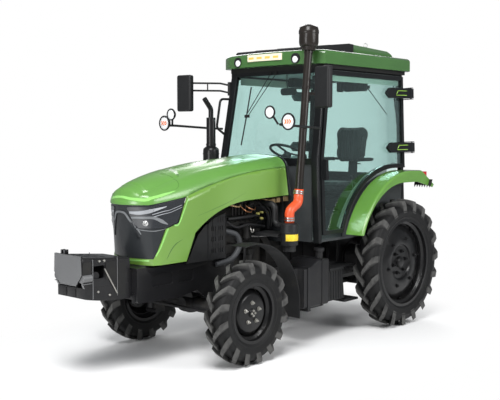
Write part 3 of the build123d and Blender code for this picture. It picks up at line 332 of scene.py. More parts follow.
def rubber():
    """Tyre rubber: dull black, and grey where the attribute says that the ground scuffs it."""
    tread = Finish("tyre_rubber", specular_ior_level=0.22)
    fine, blotch = tread.noise(300, 3), tread.noise(12, 5)
    scuff = (tread.attribute("scuff") * tread.ramp(blotch, 0.15, 0.60)).clamp()
    tone = tread.mix(scuff * 0.9, (0.0055, 0.0055, 0.0058), (0.088, 0.087, 0.084))
    tread.feed("Base Color", tread.mix(tread.ramp(blotch, 0.55, 0.85) * 0.03, tone, DUST))
    tread.feed("Roughness", (0.46 + fine * 0.16 + scuff * 0.15).clamp())
    tread.bump(fine * 0.6 + blotch * 0.5, 0.16, 0.002)
    return tread.material


def clear_glass(name, tint, haze):
    """A thin tinted pane: mostly see-through, with a mirror share that grows at a glancing angle."""
    pane = Finish(name)
    see = pane.node("ShaderNodeBsdfTransparent", {}, {"Color": tint})
    mirror = pane.node("ShaderNodeBsdfGlossy", {}, {"Color": (0.92, 1.0, 0.99), "Roughness": 0.03})
    edge = pane.node("ShaderNodeLayerWeight", {}, {"Blend": 0.16}, "Fresnel")
    pane.surface((edge * 0.50 + haze + pane.noise(3, 3) * 0.02).clamp(), see, mirror)
    pane.tree.nodes.remove(pane.shader)
    return pane.material


cast_black = cast("cast_black", (0.010, 0.010, 0.011))
engine_metal = cast("engine_metal", (0.020, 0.0195, 0.019), 0.08, 0.2)
grained_black = moulded("grained_black", (0.0105, 0.0108, 0.0115))
tank_black = moulded("tank_black", (0.0095, 0.0095, 0.0105), 0.33, 600, 0.08, 0.03)
mask_black = moulded("mask_black", (0.017, 0.019, 0.021), 0.22, 1400, 0.03)
gloss_black = moulded("gloss_black", (0.013, 0.0105, 0.009), 0.22, 2000, 0.01, 0.02)
inner_grey = moulded("inner_grey", (0.045, 0.050, 0.052), 0.55, 700, 0.08)
seal_black = moulded("seal_black", (0.010, 0.010, 0.010), 0.62, 500, 0.06)
tyre_rubber = rubber()
cab_glass = clear_glass("cab_glass", (0.85, 0.945, 0.93), 0.05)
print("castings, plastics, rubber and glass made")

# %% [markdown]
# ## Soft edges on the CAD bodies
#
# No real edge is knife sharp: a folded sheet has a small radius and a casting a larger one, and
# that radius is what catches the light. A CAD node arrives as loose flat triangles, so a copy
# is merged, its flat areas are joined into single faces, and a small bevel rounds what is left.

# %% Dress the CAD nodes
SHARP = 28  # degrees between two faces of a CAD node that make an edge, to be rounded


def dress(node, finish, radius, paint_by=None):
    """Show a merged, rounded copy of a CAD node in a finish, on the node's own body."""
    mesh = nodes[node].data.copy()
    mesh.name = node + "_skin"
    work = bmesh.new()
    work.from_mesh(mesh)
    bmesh.ops.remove_doubles(work, verts=work.verts, dist=2e-5)
    if radius:
        bmesh.ops.dissolve_limit(work, angle_limit=math.radians(0.6), verts=work.verts, edges=work.edges)
    work.to_mesh(mesh)
    work.free()
    mesh.materials.clear()
    for paint in finish if isinstance(finish, tuple) else (finish,):
        mesh.materials.append(paint)
    mesh.polygons.foreach_set("material_index", np.zeros(len(mesh.polygons), np.int32))
    shade_smooth(mesh, SHARP)
    if paint_by is not None:
        centres = np.array([face.center for face in mesh.polygons])
        normals = np.array([face.normal for face in mesh.polygons])
        mesh.polygons.foreach_set("material_index", paint_by(centres, normals).astype(np.int32))
    piece = link(node + "_skin", mesh)
    if radius:
        rounder = piece.modifiers.new("soft_edge", "BEVEL")
        rounder.width, rounder.segments = radius, 2
        rounder.limit_method, rounder.angle_limit = "ANGLE", math.radians(SHARP)
        rounder.harden_normals = True
    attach(piece, BODY_OF[node])
    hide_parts(node)
    return piece


SIDES = ("left", "right")
DRESSED = (  # each finish, and its nodes with the radius of their edges in metres
    (chassis_black, {"front_support": 0.004, "exhaust": 0.001}),
    (cast_black, {"front_axle": 0.005, "track_rod": 0.002, "gearbox": 0.005, "drawbar": 0.003,
                  "lift_arms": 0.003, "lift_rods": 0.001, "lower_links": 0.002}
     | {f"front_knuckle_{side}": 0.004 for side in SIDES}),
    (engine_metal, {"engine": 0.004}),
    (grained_black, {"radiator_screens": 0.002, "battery_boxes": 0.004, "roof_cover": 0.006,
                     "dashboard": 0.006, "steering_wheel": 0.002, "mirrors": 0.0, "air_filter": 0.002,
                     "seat_base": 0.003} | {f"front_mudguard_{side}": 0.002 for side in SIDES}),
    (mask_black, {"bonnet_surround": 0.002, "nose_mask": 0.001}),
    (cab_black, {"cab_frame": 0.004, "door_left": 0.003, "door_right": 0.003}),
    (inner_grey, {"cab_floor": 0.003}),
    (roof_green, {"roof": 0.004}),
    (fender_green, {"rear_fenders": 0.002}),
    (gloss_black, {"intake_pipe": 0.001}),
    (tank_black, {"fuel_tanks": 0.003}),
    (bonnet_green, {"bonnet": 0.0}),
    (wheel_black, {f"{end}_wheel_{side}": 0.002 for end in ("front", "rear") for side in SIDES}),
)
dressed = [dress(node, finish, radius) for finish, held in DRESSED for node, radius in held.items()]


def lit_front_faces(centres, normals):
    """1 on the faces of the bracket's front plate and tow block that look ahead, 0 elsewhere: their lighter
    grey paints the light that falls on them from the front.
    """
    return (normals[:, 0] > 0.7) & (centres[:, 0] > place(3690, 0, 0)[0])


# The bracket's faces that look ahead get a lighter grey than its black sides: painted light from the front.
dress("front_weight_bracket", (chassis_black, plate_grey), 0.003, paint_by=lit_front_faces)
for node in ("cab_glass", "door_glass_left", "door_glass_right"):
    nodes[node].data.materials.clear()
    nodes[node].data.materials.append(cab_glass)
print(len(dressed), "nodes dressed")

# %% [markdown]
# ## Grids of faces
#
# A grid of points needs faces between its neighbours, and each quad joins a point to the next
# row and the next column. Where a surface closes on itself, the last row or column is followed
# by the first. A tube also needs a face over each end.

# %% Faces and joined meshes
def grid_faces(rows, columns, wrap_rows=False, wrap_columns=False):
    """Corner numbers of the quads of a rows by columns grid, row by row."""
    row = np.arange(rows if wrap_rows else rows - 1)[:, None]
    column = np.arange(columns if wrap_columns else columns - 1)[None, :]
    below, beside = (row + 1) % rows, (column + 1) % columns
    corners = (row * columns + column, row * columns + beside, below * columns + beside,
               below * columns + column)
    return np.stack([c.ravel() for c in corners], axis=1)


def capped_faces(rows, columns, wrap=True, flip=False):
    """The quads of a tube made of rows rings, and a face over each end, all turned over by flip."""
    last = (rows - 1) * columns
    faces = grid_faces(rows, columns, wrap_columns=wrap).tolist()
    faces += [list(range(columns))[::-1], list(range(last, last + columns))]
    return [face[::-1] for face in faces] if flip else faces


def joined(parts):
    """Several (points, faces) pairs as one pair."""
    start, points, faces = 0, [], []
    for part_points, part_faces in parts:
        points.append(np.asarray(part_points, float).reshape(-1, 3))
        faces += [[int(i) + start for i in face] for face in part_faces]
        start += len(points[-1])
    return np.concatenate(points), faces


def add_parts(name, parts, body, finish, smooth=30):
    """Several meshes as one piece."""
    return add_piece(name, *joined(parts), body, finish, smooth)


def full_turn(steps):
    """Evenly spaced angles of one whole turn, in radians."""
    return np.arange(steps) * 2 * np.pi / steps


print("faces of a capped tube with 3 rings of 4 points:", len(capped_faces(3, 4)))

# %% [markdown]
# ## Farm tyres
#
# A drive tyre has tall slanting bars in two staggered rows. The carcass is a profile turned
# about the axle. Each bar follows the carcass from just past its middle to the shoulder and a
# little way down the sidewall: its centre line is a curve over the meridian, and at every point
# of it a trapezoid section stands up to the tyre's full radius.

# %% Tyres
def tyre_points(offset, radius, turn, centre):
    """offset along the axle, radius from it, and turn about it with 0 at the top, forwards positive."""
    spot = (centre[0] + radius * np.sin(turn), centre[1] + offset, centre[2] + radius * np.cos(turn))
    return np.stack(np.broadcast_arrays(*spot), axis=-1)


def carcass(centre, radius, half, rim, rise, steps=144):
    """The tyre without its bars: a crowned tread, round shoulders, sidewalls with rings and beads."""
    base = radius - rise
    flank = (base + rim) / 2
    profile = np.array([
        (0, base), (0.30, base - 0.002), (0.58, base - 0.008), (0.80, base - 0.019),
        (0.90, base - 0.032), (0.955, base - 0.052), (0.985, base - 0.078), (1, flank + 0.004),
        (0.985, flank - 0.014), (0.978, flank - 0.017), (0.965, flank - 0.024), (0.93, rim + 0.040),
        (0.91, rim + 0.028), (0.925, rim + 0.024), (0.90, rim + 0.016), (0.85, rim + 0.006),
        (0.80, rim - 0.004), (0.76, rim - 0.018)])
    full = np.concatenate([profile[::-1] * [-1, 1], profile[1:]])
    points = tyre_points(full[None, :, 0] * half, full[None, :, 1], full_turn(steps)[:, None], centre)
    return points.reshape(-1, 3), grid_faces(steps, len(full), wrap_rows=True)


def bar(radius, half, rise, sweep, width):
    """One bar of the left row as (offset, radius, turn, scuff) arrays: nine steps by six corners.

    Its centre line turns back by sweep * (1 - (1 - t)^1.35) from the middle to the shoulder."""
    t = np.linspace(0, 1, 9)
    offset = half * np.array([-0.045, 0.12, 0.30, 0.48, 0.66, 0.82, 0.93, 0.985, 1.0])
    crown = radius - 0.016 * (offset / half).clip(0) ** 2.2
    top = crown - rise * np.array([0, 0, 0, 0, 0, 0, 0, 1.1, 2.9])
    foot = np.minimum(radius - rise - 0.010 - 0.05 * (np.abs(offset) / half) ** 5, top - 0.004)
    turn = -sweep * (1 - (1 - t) ** 1.35)
    wide = width * (0.80 + 0.35 * t) / radius
    shape = np.array([-0.66, -0.54, -0.50, 0.50, 0.54, 0.66])
    lift = np.array([0, 0.90, 1, 1, 0.90, 0])
    corners = foot[:, None] + (top - foot)[:, None] * lift
    return (np.broadcast_to(offset[:, None], corners.shape), corners,
            turn[:, None] + wide[:, None] * shape, np.broadcast_to(lift ** 6, corners.shape))


def tyre(node, rim, bars, rise, sweep, width):
    """A whole tyre in the place of its CAD solid, its bar tops at the solid's outer radius."""
    low, high = (np.array(v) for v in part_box(node))
    centre, radius, half = (low + high) / 2, (high[2] - low[2]) / 2, (high[1] - low[1]) / 2
    parts = [carcass(centre, radius, half, rim, rise)]
    marks = [np.zeros(len(parts[0][0]))]
    offset, height, turn, worn = bar(radius, half * 0.995, rise, sweep, width)
    pitch = 2 * np.pi / bars
    for side, shift in ((1, 0.0), (-1, 0.5)):
        where = (np.arange(bars) + shift)[:, None, None] * pitch + turn
        placed = tyre_points(np.broadcast_to(side * offset, where.shape), height[None], where, centre)
        faces = capped_faces(*offset.shape, wrap=False, flip=side > 0)
        parts += [(one, faces) for one in placed]
        marks += [worn.ravel()] * bars
    piece = add_parts(node + "_lugged", parts, BODY_OF[node], tyre_rubber, 35)
    mark = piece.data.attributes.new("scuff", "FLOAT", "POINT")
    mark.data.foreach_set("value", np.concatenate(marks).astype(np.float32))
    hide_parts(node)


TYRES = {  # rim radius, bars in a row, bar height, bar sweep in radians, bar width
    "front_tyre": (0.275, 16, 0.034, 0.30, 0.058),
    "rear_tyre": (0.473, 19, 0.042, 0.26, 0.062),
}
for side_name in SIDES:
    for end, measures in TYRES.items():
        tyre(f"{end}_{side_name}", *measures)

# %% [markdown]
# ## Bright and clear finishes
#
# Lamps, mirrors and steel fittings need finishes of their own. A lens is clear plastic with
# fine vertical ribs, so its bump is a wave. The light lines are a pale satin plastic.

# %% Lamp, mirror and steel finishes
def lens():
    """A lamp's ribbed lens."""
    clear = Finish("lamp_lens", coat_weight=1.0, coat_roughness=0.03)
    ribs = clear.waves("Y", 60.0)
    clear.feed("Base Color", clear.mix(ribs, (0.80, 0.82, 0.84), (0.95, 0.96, 0.97)))
    clear.feed("Roughness", 0.10 + ribs * 0.06)
    clear.bump(ribs, 0.25, 0.001)
    return clear.material


def plain(name, shade, roughness=0.3, metallic=0.0, grain=60, spread=0.12, **more):
    """One finish with slight colour and gloss variation and a fine bump."""
    finish = Finish(name, metallic=metallic, **more)
    fine, cloud = finish.noise(grain * 8, 3), finish.noise(grain / 6, 4)
    darker = tuple(part * (1 - spread) for part in shade)
    finish.feed("Base Color", finish.mix(cloud, darker, shade))
    finish.feed("Roughness", (roughness + fine * 0.08 + cloud * 0.05).clamp())
    finish.bump(fine, 0.05, 0.0008)
    return finish.material


lamp_lens = lens()
bright_steel = plain("bright_steel", (0.55, 0.55, 0.54), 0.24, 1.0)
dull_zinc = plain("dull_zinc", (0.42, 0.41, 0.38), 0.38, 0.9)
mirror_face = plain("mirror_face", (0.80, 0.84, 0.86), 0.04, 1.0, 4, 0.03)
led_white = plain("led_white", (0.52, 0.54, 0.57), 0.25, 0.3, 26, 0.75)
lamp_amber = plain("lamp_amber", (0.85, 0.16, 0.01), 0.25)
lamp_red = plain("lamp_red", (0.55, 0.010, 0.012), 0.18, coat_weight=0.8)
hose_red = plain("hose_red", (0.72, 0.085, 0.022), 0.34)
sign_cream = plain("sign_cream", (0.86, 0.78, 0.60), 0.4)
smoked_lens = plain("smoked_lens", (0.020, 0.022, 0.026), 0.08, coat_weight=1.0, coat_roughness=0.02)
copper_pipe = plain("copper_pipe", (0.55, 0.26, 0.13), 0.3, 0.9)
ochre_part = plain("ochre_part", (0.42, 0.30, 0.15), 0.45, 0.4)
print("bright finishes made")

# %% [markdown]
# ## Directions
#
# A round thing needs two directions square to its axle. A cross product is square to both its
# inputs, so two of them make a full set from the axle alone.

# %% Directions
def unit(vectors):
    """The same directions, each of length one."""
    vectors = np.asarray(vectors, float)
    return vectors / np.linalg.norm(vectors, axis=-1, keepdims=True)


def spokes(angles, across, up):
    """Directions at angles from across towards up: cos a * across + sin a * up."""
    return np.cos(angles)[:, None] * across + np.sin(angles)[:, None] * up


def axes_along(direction):
    """Three unit vectors, the third of them along a direction."""
    along = unit(direction)
    across = unit(np.cross((1, 0, 0) if abs(along[2]) > 0.95 else (0, 0, 1), along))
    return across, np.cross(along, across), along


print("axes along +Y:", [axis.round(3).tolist() for axis in axes_along((0, 1, 0))])

# %% [markdown]
# ## Wheel fittings
#
# A wheel is held by nuts on a circle, and its disc is bolted to lugs on the rim. A nut has a
# washer, six flats and a domed stud: one small mesh, copied round each circle.

# %% Nuts, bolts and rim lugs
def box(low, high):
    """A plain box's points and faces, from its lowest and highest corner."""
    low, high = np.minimum(low, high), np.maximum(low, high)
    corners = np.array([[x, y, z] for z in (0, 1) for y in (0, 1) for x in (0, 1)])
    faces = [[0, 2, 3, 1], [4, 5, 7, 6], [0, 1, 5, 4], [2, 6, 7, 3], [0, 4, 6, 2], [1, 3, 7, 5]]
    return low + corners * (high - low), faces


def nut(across, height, stud=0.0):
    """A hexagon nut on a washer, along +Z: rings of (radius, height)."""
    rings = [(across * 0.78, 0.0), (across * 0.78, height * 0.15), (across * 0.58, height * 0.16),
             (across * 0.58, height * 0.85), (across * 0.48, height), (across * 0.26, height)]
    if stud:
        rings += [(across * 0.26, height + stud * 0.8), (across * 0.18, height + stud)]
    points = np.array([[r * np.cos(a), r * np.sin(a), z] for r, z in rings for a in full_turn(6)])
    return points, capped_faces(len(rings), 6)


def on_circle(part, centre, outward, radius, count, first=0.0):
    """Copies of a part on a circle: centre + radius * spoke, each standing along the outward direction."""
    across, up, along = axes_along(outward)
    points, faces = part
    return joined([
        (centre + radius * spoke + np.asarray(points) @ np.array([spoke, np.cross(along, spoke), along]),
         faces) for spoke in spokes(first + full_turn(count), across, up)])


def standing(part, base, outward):
    """One part moved to a base point, its +Z turned to a direction."""
    points, faces = part
    return np.asarray(base) + np.asarray(points) @ np.array(axes_along(outward)), faces


for side_name, sign in (("left", 1), ("right", -1)):
    out = np.array([0, sign, 0.0])
    hub = middle_of(f"front_tyre_{side_name}")
    front_nuts = on_circle(nut(0.026, 0.020, 0.014), hub + out * 0.054, out, 0.092, 5, 0.3)
    front_bolts = on_circle(nut(0.016, 0.010), hub + out * 0.071, out, 0.022, 4)
    add_parts(f"front_nuts_{side_name}", [front_nuts, front_bolts], f"front_wheel_body_{side_name}",
              dull_zinc, 25)
    hub, body = middle_of(f"rear_tyre_{side_name}"), f"rear_wheel_body_{side_name}"
    rows = [on_circle(nut(*size), hub + out * offset, out, radius, count, first)
            for size, offset, radius, count, first in (
                ((0.030, 0.024, 0.018), 0.021, 0.120, 6, 0.2), ((0.030, 0.020, 0.010), 0.049, 0.262, 6, 0.2),
                ((0.028, 0.018, 0.012), -0.002, 0.408, 8, 0.1))]
    add_parts(f"rear_nuts_{side_name}", rows, body, wheel_black, 25)
    lug_block = box((-0.045, -0.040, -0.050), (0.022, 0.040, -0.004))
    lugs = on_circle(lug_block, hub + out * 0.002, out, 0.412, 8, 0.1)
    add_piece(f"rear_rim_lugs_{side_name}", *lugs, body, wheel_black, 25)

# %% [markdown]
# ## Round lamps
#
# A round lamp is the CAD's housing with a bezel ring and a ribbed lens that bulges a little.
# The lens is a shallow dome: its height falls with the square of the radius.

# %% Round lamps
def turned(profile, start, direction, steps=48, closed=False):
    """A profile of (radius, distance) points turned about the line from start along direction.

    Point = start + radius * (cos a * across + sin a * up) + distance * along."""
    profile = np.asarray(profile, float)
    across, up, along = axes_along(direction)
    ring = spokes(full_turn(steps), across, up)
    points = np.asarray(start) + profile[None, :, :1] * ring[:, None, :] + profile[None, :, 1:] * along
    return points.reshape(-1, 3), grid_faces(steps, len(profile), wrap_rows=True, wrap_columns=closed)


def dome(centre, direction, radius, rise, steps=32):
    """A shallow dome, height = rise * (1 - r^2), with a tiny flat at its pole."""
    r = np.linspace(1, 0, 7)
    profile = np.stack([r * radius, rise * (1 - r ** 2)], axis=1)
    profile[-1, 0] = 1e-4
    points, faces = turned(profile, centre, direction, steps)
    pole = np.arange(steps) * len(profile) + len(profile) - 1
    return points, faces.tolist() + [pole[::-1].tolist()]


def ring(centre, direction, inner, outer, depth):
    """A ring with a crowned front."""
    profile = [(inner, 0), (inner, depth), ((inner + outer) / 2, depth * 1.15), (outer, depth), (outer, 0)]
    return turned(profile, centre, direction, 32, closed=True)


def chevrons(centre, size):
    """Three arrow strips that lie on a lens: each is a V of two thin parallelograms."""
    strips = []
    for shift in (-0.56 * size, 0, 0.56 * size):
        for half in (1, -1):
            y = shift - np.array([0, size * 0.34, size * 0.64, size * 0.30]) + size * 0.3
            z = half * np.array([0.0, 0.0, size * 0.42, size * 0.42])
            corners = np.stack([np.full(4, centre[0]), centre[1] + y, centre[2] + z], axis=1)
            strips.append((corners, [[3, 2, 1, 0][::half]]))
    return joined(strips)


FORWARD = np.array([1.0, 0, 0])
lamp_body, lamp_face, lamp_marks = [], [], []
for sign in (1, -1):
    for x, y, z, radius in ((1882, 831, 2175, 0.073), (1944, 663, 2261, 0.056), (1238, 386, 2812, 0.047)):
        centre = place(x - 4, sign * y, z)
        lamp_face.append(dome(centre, FORWARD, radius * 0.93, 0.009))
        lamp_body.append(ring(centre, FORWARD, radius * 0.90, radius * 1.04, 0.010))
        if radius > 0.07:
            lamp_marks.append(chevrons(centre + [0.0102, 0, 0], radius * 0.66))
add_parts("lamp_lenses", lamp_face, "chassis", lamp_lens, 50)
add_parts("lamp_bezels", lamp_body, "chassis", grained_black, 40)
add_parts("lamp_chevrons", lamp_marks, "chassis", lamp_amber)
dress("lamps", grained_black, 0.001)
dress("tail_lamps", lamp_red, 0.003)
print("lamps done")

# %% [markdown]
# ## Mirror glasses
#
# Each mirror's glass lies on the rear face of its head, in the head's own turned directions. It
# is a plate: an outline raised along its normal, its front edge drawn in a little. The right
# side repeats the left one with y turned over, so only the left one has to be worked out.

# %% Mirror glasses
def slab(outline, base, across, up, thickness, edge=0.0):
    """A plate: an outline in the plane of across and up, raised along their cross product, its
    last ring drawn in by the edge as a chamfer."""
    outline = np.asarray(outline, float)
    across, up = np.asarray(across, float), np.asarray(up, float)
    out, centre = np.cross(across, up), outline.mean(0)
    span = np.abs(outline - centre).max(0)
    inset = centre + (outline - centre) * (1 - edge / np.maximum(span, 1e-6))
    levels = [(outline, 0.0), (outline, thickness - edge)] + ([(inset, thickness)] if edge else [])
    points = [np.asarray(base) + o[:, :1] * across + o[:, 1:] * up + h * out for o, h in levels]
    return np.concatenate(points), capped_faces(len(levels), len(outline))


def rounded_outline(width, height, radius, steps=5):
    """A rectangle's outline, counter-clockwise: each corner is corner centre + radius * (cos a, sin a)."""
    parts = []
    for quarter, (sx, sy) in enumerate(((1, 1), (-1, 1), (-1, -1), (1, -1))):
        angle = np.linspace(0, np.pi / 2, steps) + quarter * np.pi / 2
        corner = np.array([sx * (width / 2 - radius), sy * (height / 2 - radius)])
        parts.append(corner + radius * np.stack([np.cos(angle), np.sin(angle)], axis=1))
    return np.concatenate(parts)


def mirrored(part):
    """The same mesh on the tractor's other side, its faces turned to point outwards again."""
    points, faces = part
    return np.asarray(points) * [1, -1, 1], [list(f)[::-1] for f in faces]


def add_pair(name, parts, body, finish, smooth=30):
    """One piece from meshes of the left side and their mirror images."""
    left = joined(parts)
    return add_parts(name, [left, mirrored(left)], body, finish, smooth)


MIRROR_TURN = math.radians(8)


def mirror_glass():
    """A rounded plate on the rear face of the left mirror's head, which is turned a little."""
    inward = -np.array([math.sin(MIRROR_TURN), math.cos(MIRROR_TURN), 0])
    backward = np.array([-math.cos(MIRROR_TURN), math.sin(MIRROR_TURN), 0])
    base = place(1484, 930, 2500) + backward * 0.0348
    return slab(rounded_outline(0.158, 0.355, 0.022), base, inward, (0, 0, 1), 0.0022, 0.001)


add_pair("mirror_glasses", [mirror_glass()], "chassis", mirror_face)
print("mirror glasses done")

# %% [markdown]
# ## Lines that lie on a surface
#
# Trim follows the body under it. A few anchor points are joined by a smooth path, each point of
# the path is cast onto the CAD surface, and a thin flat section is carried along the result,
# square to the surface's own normal.

# %% Trim strips
def places(points):
    """Several points given in millimetres."""
    return [place(*p) for p in points]


def points_of(mesh):
    """A mesh's points, one to a row."""
    flat = np.empty(len(mesh.vertices) * 3, np.float32)
    mesh.vertices.foreach_get("co", flat)
    return flat.reshape(-1, 3)


def tree_of(mesh):
    """A mesh's surface, ready for rays and nearest points."""
    return BVHTree.FromPolygons(points_of(mesh).tolist(), [tuple(f.vertices) for f in mesh.polygons])


def smooth_path(points, per_span=8):
    """A Catmull-Rom curve: each span blends its four nearest points with cubic weights."""
    points = np.asarray(points, float)
    padded = np.concatenate([2 * points[:1] - points[1:2], points, 2 * points[-1:] - points[-2:-1]])
    t = np.linspace(0, 1, per_span, endpoint=False)[None, :, None]
    a, b, c, d = (padded[i:i + len(points) - 1, None, :] for i in range(4))
    bend, twist = 2 * a - 5 * b + 4 * c - d, 3 * b - a - 3 * c + d
    curve = 0.5 * (2 * b + (c - a) * t + bend * t ** 2 + twist * t ** 3)
    return np.concatenate([curve.reshape(-1, 3), points[-1:]])


def cast_onto(node, path, direction):
    """Where a path, moved along a direction, meets a node: points and outward normals."""
    tree, heading = tree_of(nodes[node].data), unit(direction)
    found = [tree.ray_cast((p - heading).tolist(), heading.tolist(), 2.0) for p in np.asarray(path, float)]
    hits = [(hit, normal) for hit, normal, _, _ in found if hit is not None]
    points, normals = (np.array([list(v) for v in values]) for values in zip(*hits))
    facing = np.sign(-(normals @ heading))[:, None]
    return points, normals * np.where(facing == 0, 1, facing)


def trim(node, anchors, direction, widths, lift):
    """A flat bar over anchors in millimetres, laid on a node: widths along it, and its lift off it.

    Point = path + u * width / 2 * across + v * lift * normal, with (u, v) from the section."""
    points, normals = cast_onto(node, smooth_path(places(anchors)), direction)
    across = unit(np.cross(normals, unit(np.gradient(points, axis=0))))
    stations = np.linspace(0, 1, len(points))
    wide = np.interp(stations, np.linspace(0, 1, len(widths)), widths)[:, None, None] / 2
    section = np.array([(-1.0, -0.6), (-0.92, 1.0), (0.92, 1.0), (1.0, -0.6)])
    rings = (points[:, None] + section[None, :, :1] * wide * across[:, None]
             + section[None, :, 1:] * lift * normals[:, None])
    return rings.reshape(-1, 3), capped_faces(len(points), 4, flip=True)


def add_trims(name, finish, *lines):
    """One piece of the bonnet's body from the left side's lines and their mirror images."""
    add_pair(name, [trim(*line) for line in lines], "bonnet_body", finish, 40)


print("trim strips ready")

# %% [markdown]
# ## Light lines of the headlights
#
# Each headlight is a dark smoked cover over three light lines, with a grey bezel round it and a
# small projector lens. The nose between them has a bright frame in the shape of a shield. They
# could be painted on by a mask, but raised strips catch the light as the real mouldings do.

# %% Headlights
BACK, ASIDE, INWARD = (-1, 0, 0), (0, -1, 0), (-0.62, -0.78, -0.05)
dress("headlights", smoked_lens, 0.0)
bezel_grey = plain("bezel_grey", (0.22, 0.23, 0.24), 0.32, 0.6, 200)
# A lighter green for the painted highlights along the bonnet's bevel and rolled edges.
painted_edge_highlight = painted("painted_edge_highlight", (0.26, 0.58, 0.15), (0.24, 0.54, 0.13), 0.16, dust=0.0)
# A darker green for the painted shade in the bonnet's creases.
painted_crease_shade = painted("painted_crease_shade", (0.030, 0.095, 0.012), (0.026, 0.085, 0.010), 0.3, dust=0.0)
whiskers = [("headlights", ((3030, 268, top), (2930, 292, middle - 8), (2850, 304, middle + 4),
                            (2726, 319, end)), INWARD, (0.007, 0.005, 0.003), 0.0015)
            for top, middle, end in ((1368, 1398, 1438), (1346, 1376, 1418))]
add_trims("headlight_strips", led_white,
          ("headlights", ((3148, 106, 1386), (3109, 186, 1384), (3042, 259, 1400), (2888, 296, 1432)),
           INWARD, (0.020, 0.032, 0.034, 0.006), 0.0015), *whiskers)
add_trims("headlight_bezels", bezel_grey,
          ("headlights", ((3140, 100, 1340), (3092, 204, 1343), (3014, 275, 1338), (2939, 290, 1306),
                          (2880, 301, 1276)), INWARD, (0.014, 0.020, 0.024, 0.034, 0.008), 0.002),
          ("nose_mask", ((3112, 150, 1240), (3040, 256, 1226), (2965, 281, 1228), (2900, 300, 1240)),
           INWARD, (0.006, 0.008, 0.004), 0.0015))
spot, facing = (found[0] for found in cast_onto("headlights", [place(3300, 226, 1294)], BACK))
eyes = [ring(spot - facing * 0.004, facing, 0.017, 0.024, 0.005),
        dome(spot - facing * 0.001, facing, 0.0175, 0.007)]
add_pair("headlight_projectors", eyes, "bonnet_body", bright_steel, 45)
add_trims("shield_frame", bezel_grey,
          ("nose_mask", ((3300, 0, 1390), (3300, 56, 1378), (3300, 98, 1322), (3300, 148, 1256),
                         (3300, 180, 1196)), BACK, (0.016, 0.020, 0.022, 0.018, 0.008), 0.002))
add_trims("shield_frame_bridge", bezel_grey,
          ("headlights", ((3132, 112, 1310), (3120, 137, 1271), (3108, 150, 1244)), BACK,
           (0.011, 0.011), 0.002))
print("headlights done")

# %% [markdown]
# ## Bright edges on the bonnet
#
# The bonnet's top ends in a wide bevel over the lamps, and its cheeks have a rolled edge round
# the dark nose. Both catch the light as bright lines, so each is a thin raised strip in a lighter
# green that is a painted highlight. The creases between the panels are strips too, thinner and
# darker: painted shade in the creases.

# %% Bonnet edges
# Lighter green strips that paint the highlights on the bonnet's bevel and rolled edges.
add_trims("bonnet_edge_highlights", painted_edge_highlight,
          ("bonnet", ((2783, 295, 1563), (2890, 282, 1540), (2992, 265, 1518), (3071, 231, 1496),
                      (3137, 133, 1503), (3158, 30, 1517), (3160, 0, 1518)), (-0.6, -0.35, -0.72),
           (0.006, 0.026, 0.028, 0.028, 0.024, 0.020), 0.0016),
          ("bonnet", ((2657, 326, 1488), (2757, 312, 1282), (2811, 308, 1262), (2876, 304, 1240),
                      (2949, 297, 1102), (2999, 268, 1004)), (-0.3, -0.95, 0),
           (0.010, 0.014, 0.014, 0.016, 0.010), 0.0014),
          ("bonnet", ((3170, 0, 962), (3150, 90, 962), (3110, 150, 964), (3040, 235, 966)),
           (-0.8, -0.6, 0), (0.012, 0.014, 0.014), 0.0014))
# Darker green strips that paint the shade in the bonnet's creases.
add_trims("bonnet_creases", painted_crease_shade,
          ("bonnet", ((1947, 430, 1514), (2184, 430, 1429), (2374, 430, 1375), (2557, 430, 1327)),
           ASIDE, (0.001, 0.004, 0.001), 0.0006),
          ("bonnet", ((2727, 329, 1134), (2800, 320, 1100), (2852, 315, 1051), (2904, 310, 972)),
           ASIDE, (0.001, 0.007, 0.008, 0.003), 0.0006),
          ("bonnet", ((2790, 292, 1570), (2735, 283, 1600), (2713, 250, 1640), (2722, 170, 1685),
                      (2752, 85, 1706), (2766, 0, 1712)), (0, -0.45, -1),
           (0.001, 0.003, 0.004, 0.004, 0.004), 0.0006))
print("bonnet edges done")

# %% [markdown]
# ## On the door
#
# The cab's side leans in towards the top, so its fittings are placed in the door's own plane:
# u forward, v up the leaning side and w outwards, each in millimetres from the sill.

# %% Door fittings
def tube(path, radius, sides=12):
    """A closed round tube: point = path + radius * (cos a * across + sin a * up), where across and up
    are square to the path's direction at each point."""
    path = np.asarray(path, float)
    along = unit(np.gradient(path, axis=0))
    across = unit(np.cross((0, 0, 1) if np.abs(along[:, 2]).mean() < 0.8 else (1, 0, 0), along))
    ring = spokes(full_turn(sides), across[:, None], np.cross(along, across)[:, None])
    return (path[:, None] + radius * ring).reshape(-1, 3), capped_faces(len(path), sides, flip=True)


def add_each(name, parts, body, finish, smooth=30):
    """Two pieces, the left one from its meshes and the right one mirrored, each on its own body."""
    left = joined(parts)
    for side_name, mesh in (("left", left), ("right", mirrored(left))):
        add_piece(f"{name}_{side_name}", *mesh, f"{body}_{side_name}", finish, smooth)


LEAN = math.atan(0.0386)


def on_door(u, v, w=0.0):
    """A point on the left door: up the lean by v, and outwards by w."""
    return place(u, 697 - v * math.sin(LEAN) + w * math.cos(LEAN),
                 1000 + v * math.cos(LEAN) + w * math.sin(LEAN))


def cover_out(u):
    """How far a hinge cover's outer face stands out at a distance u."""
    return np.interp(u, (-430, -380, -330, -60, 20), (98, 98, 92, 34, 24))


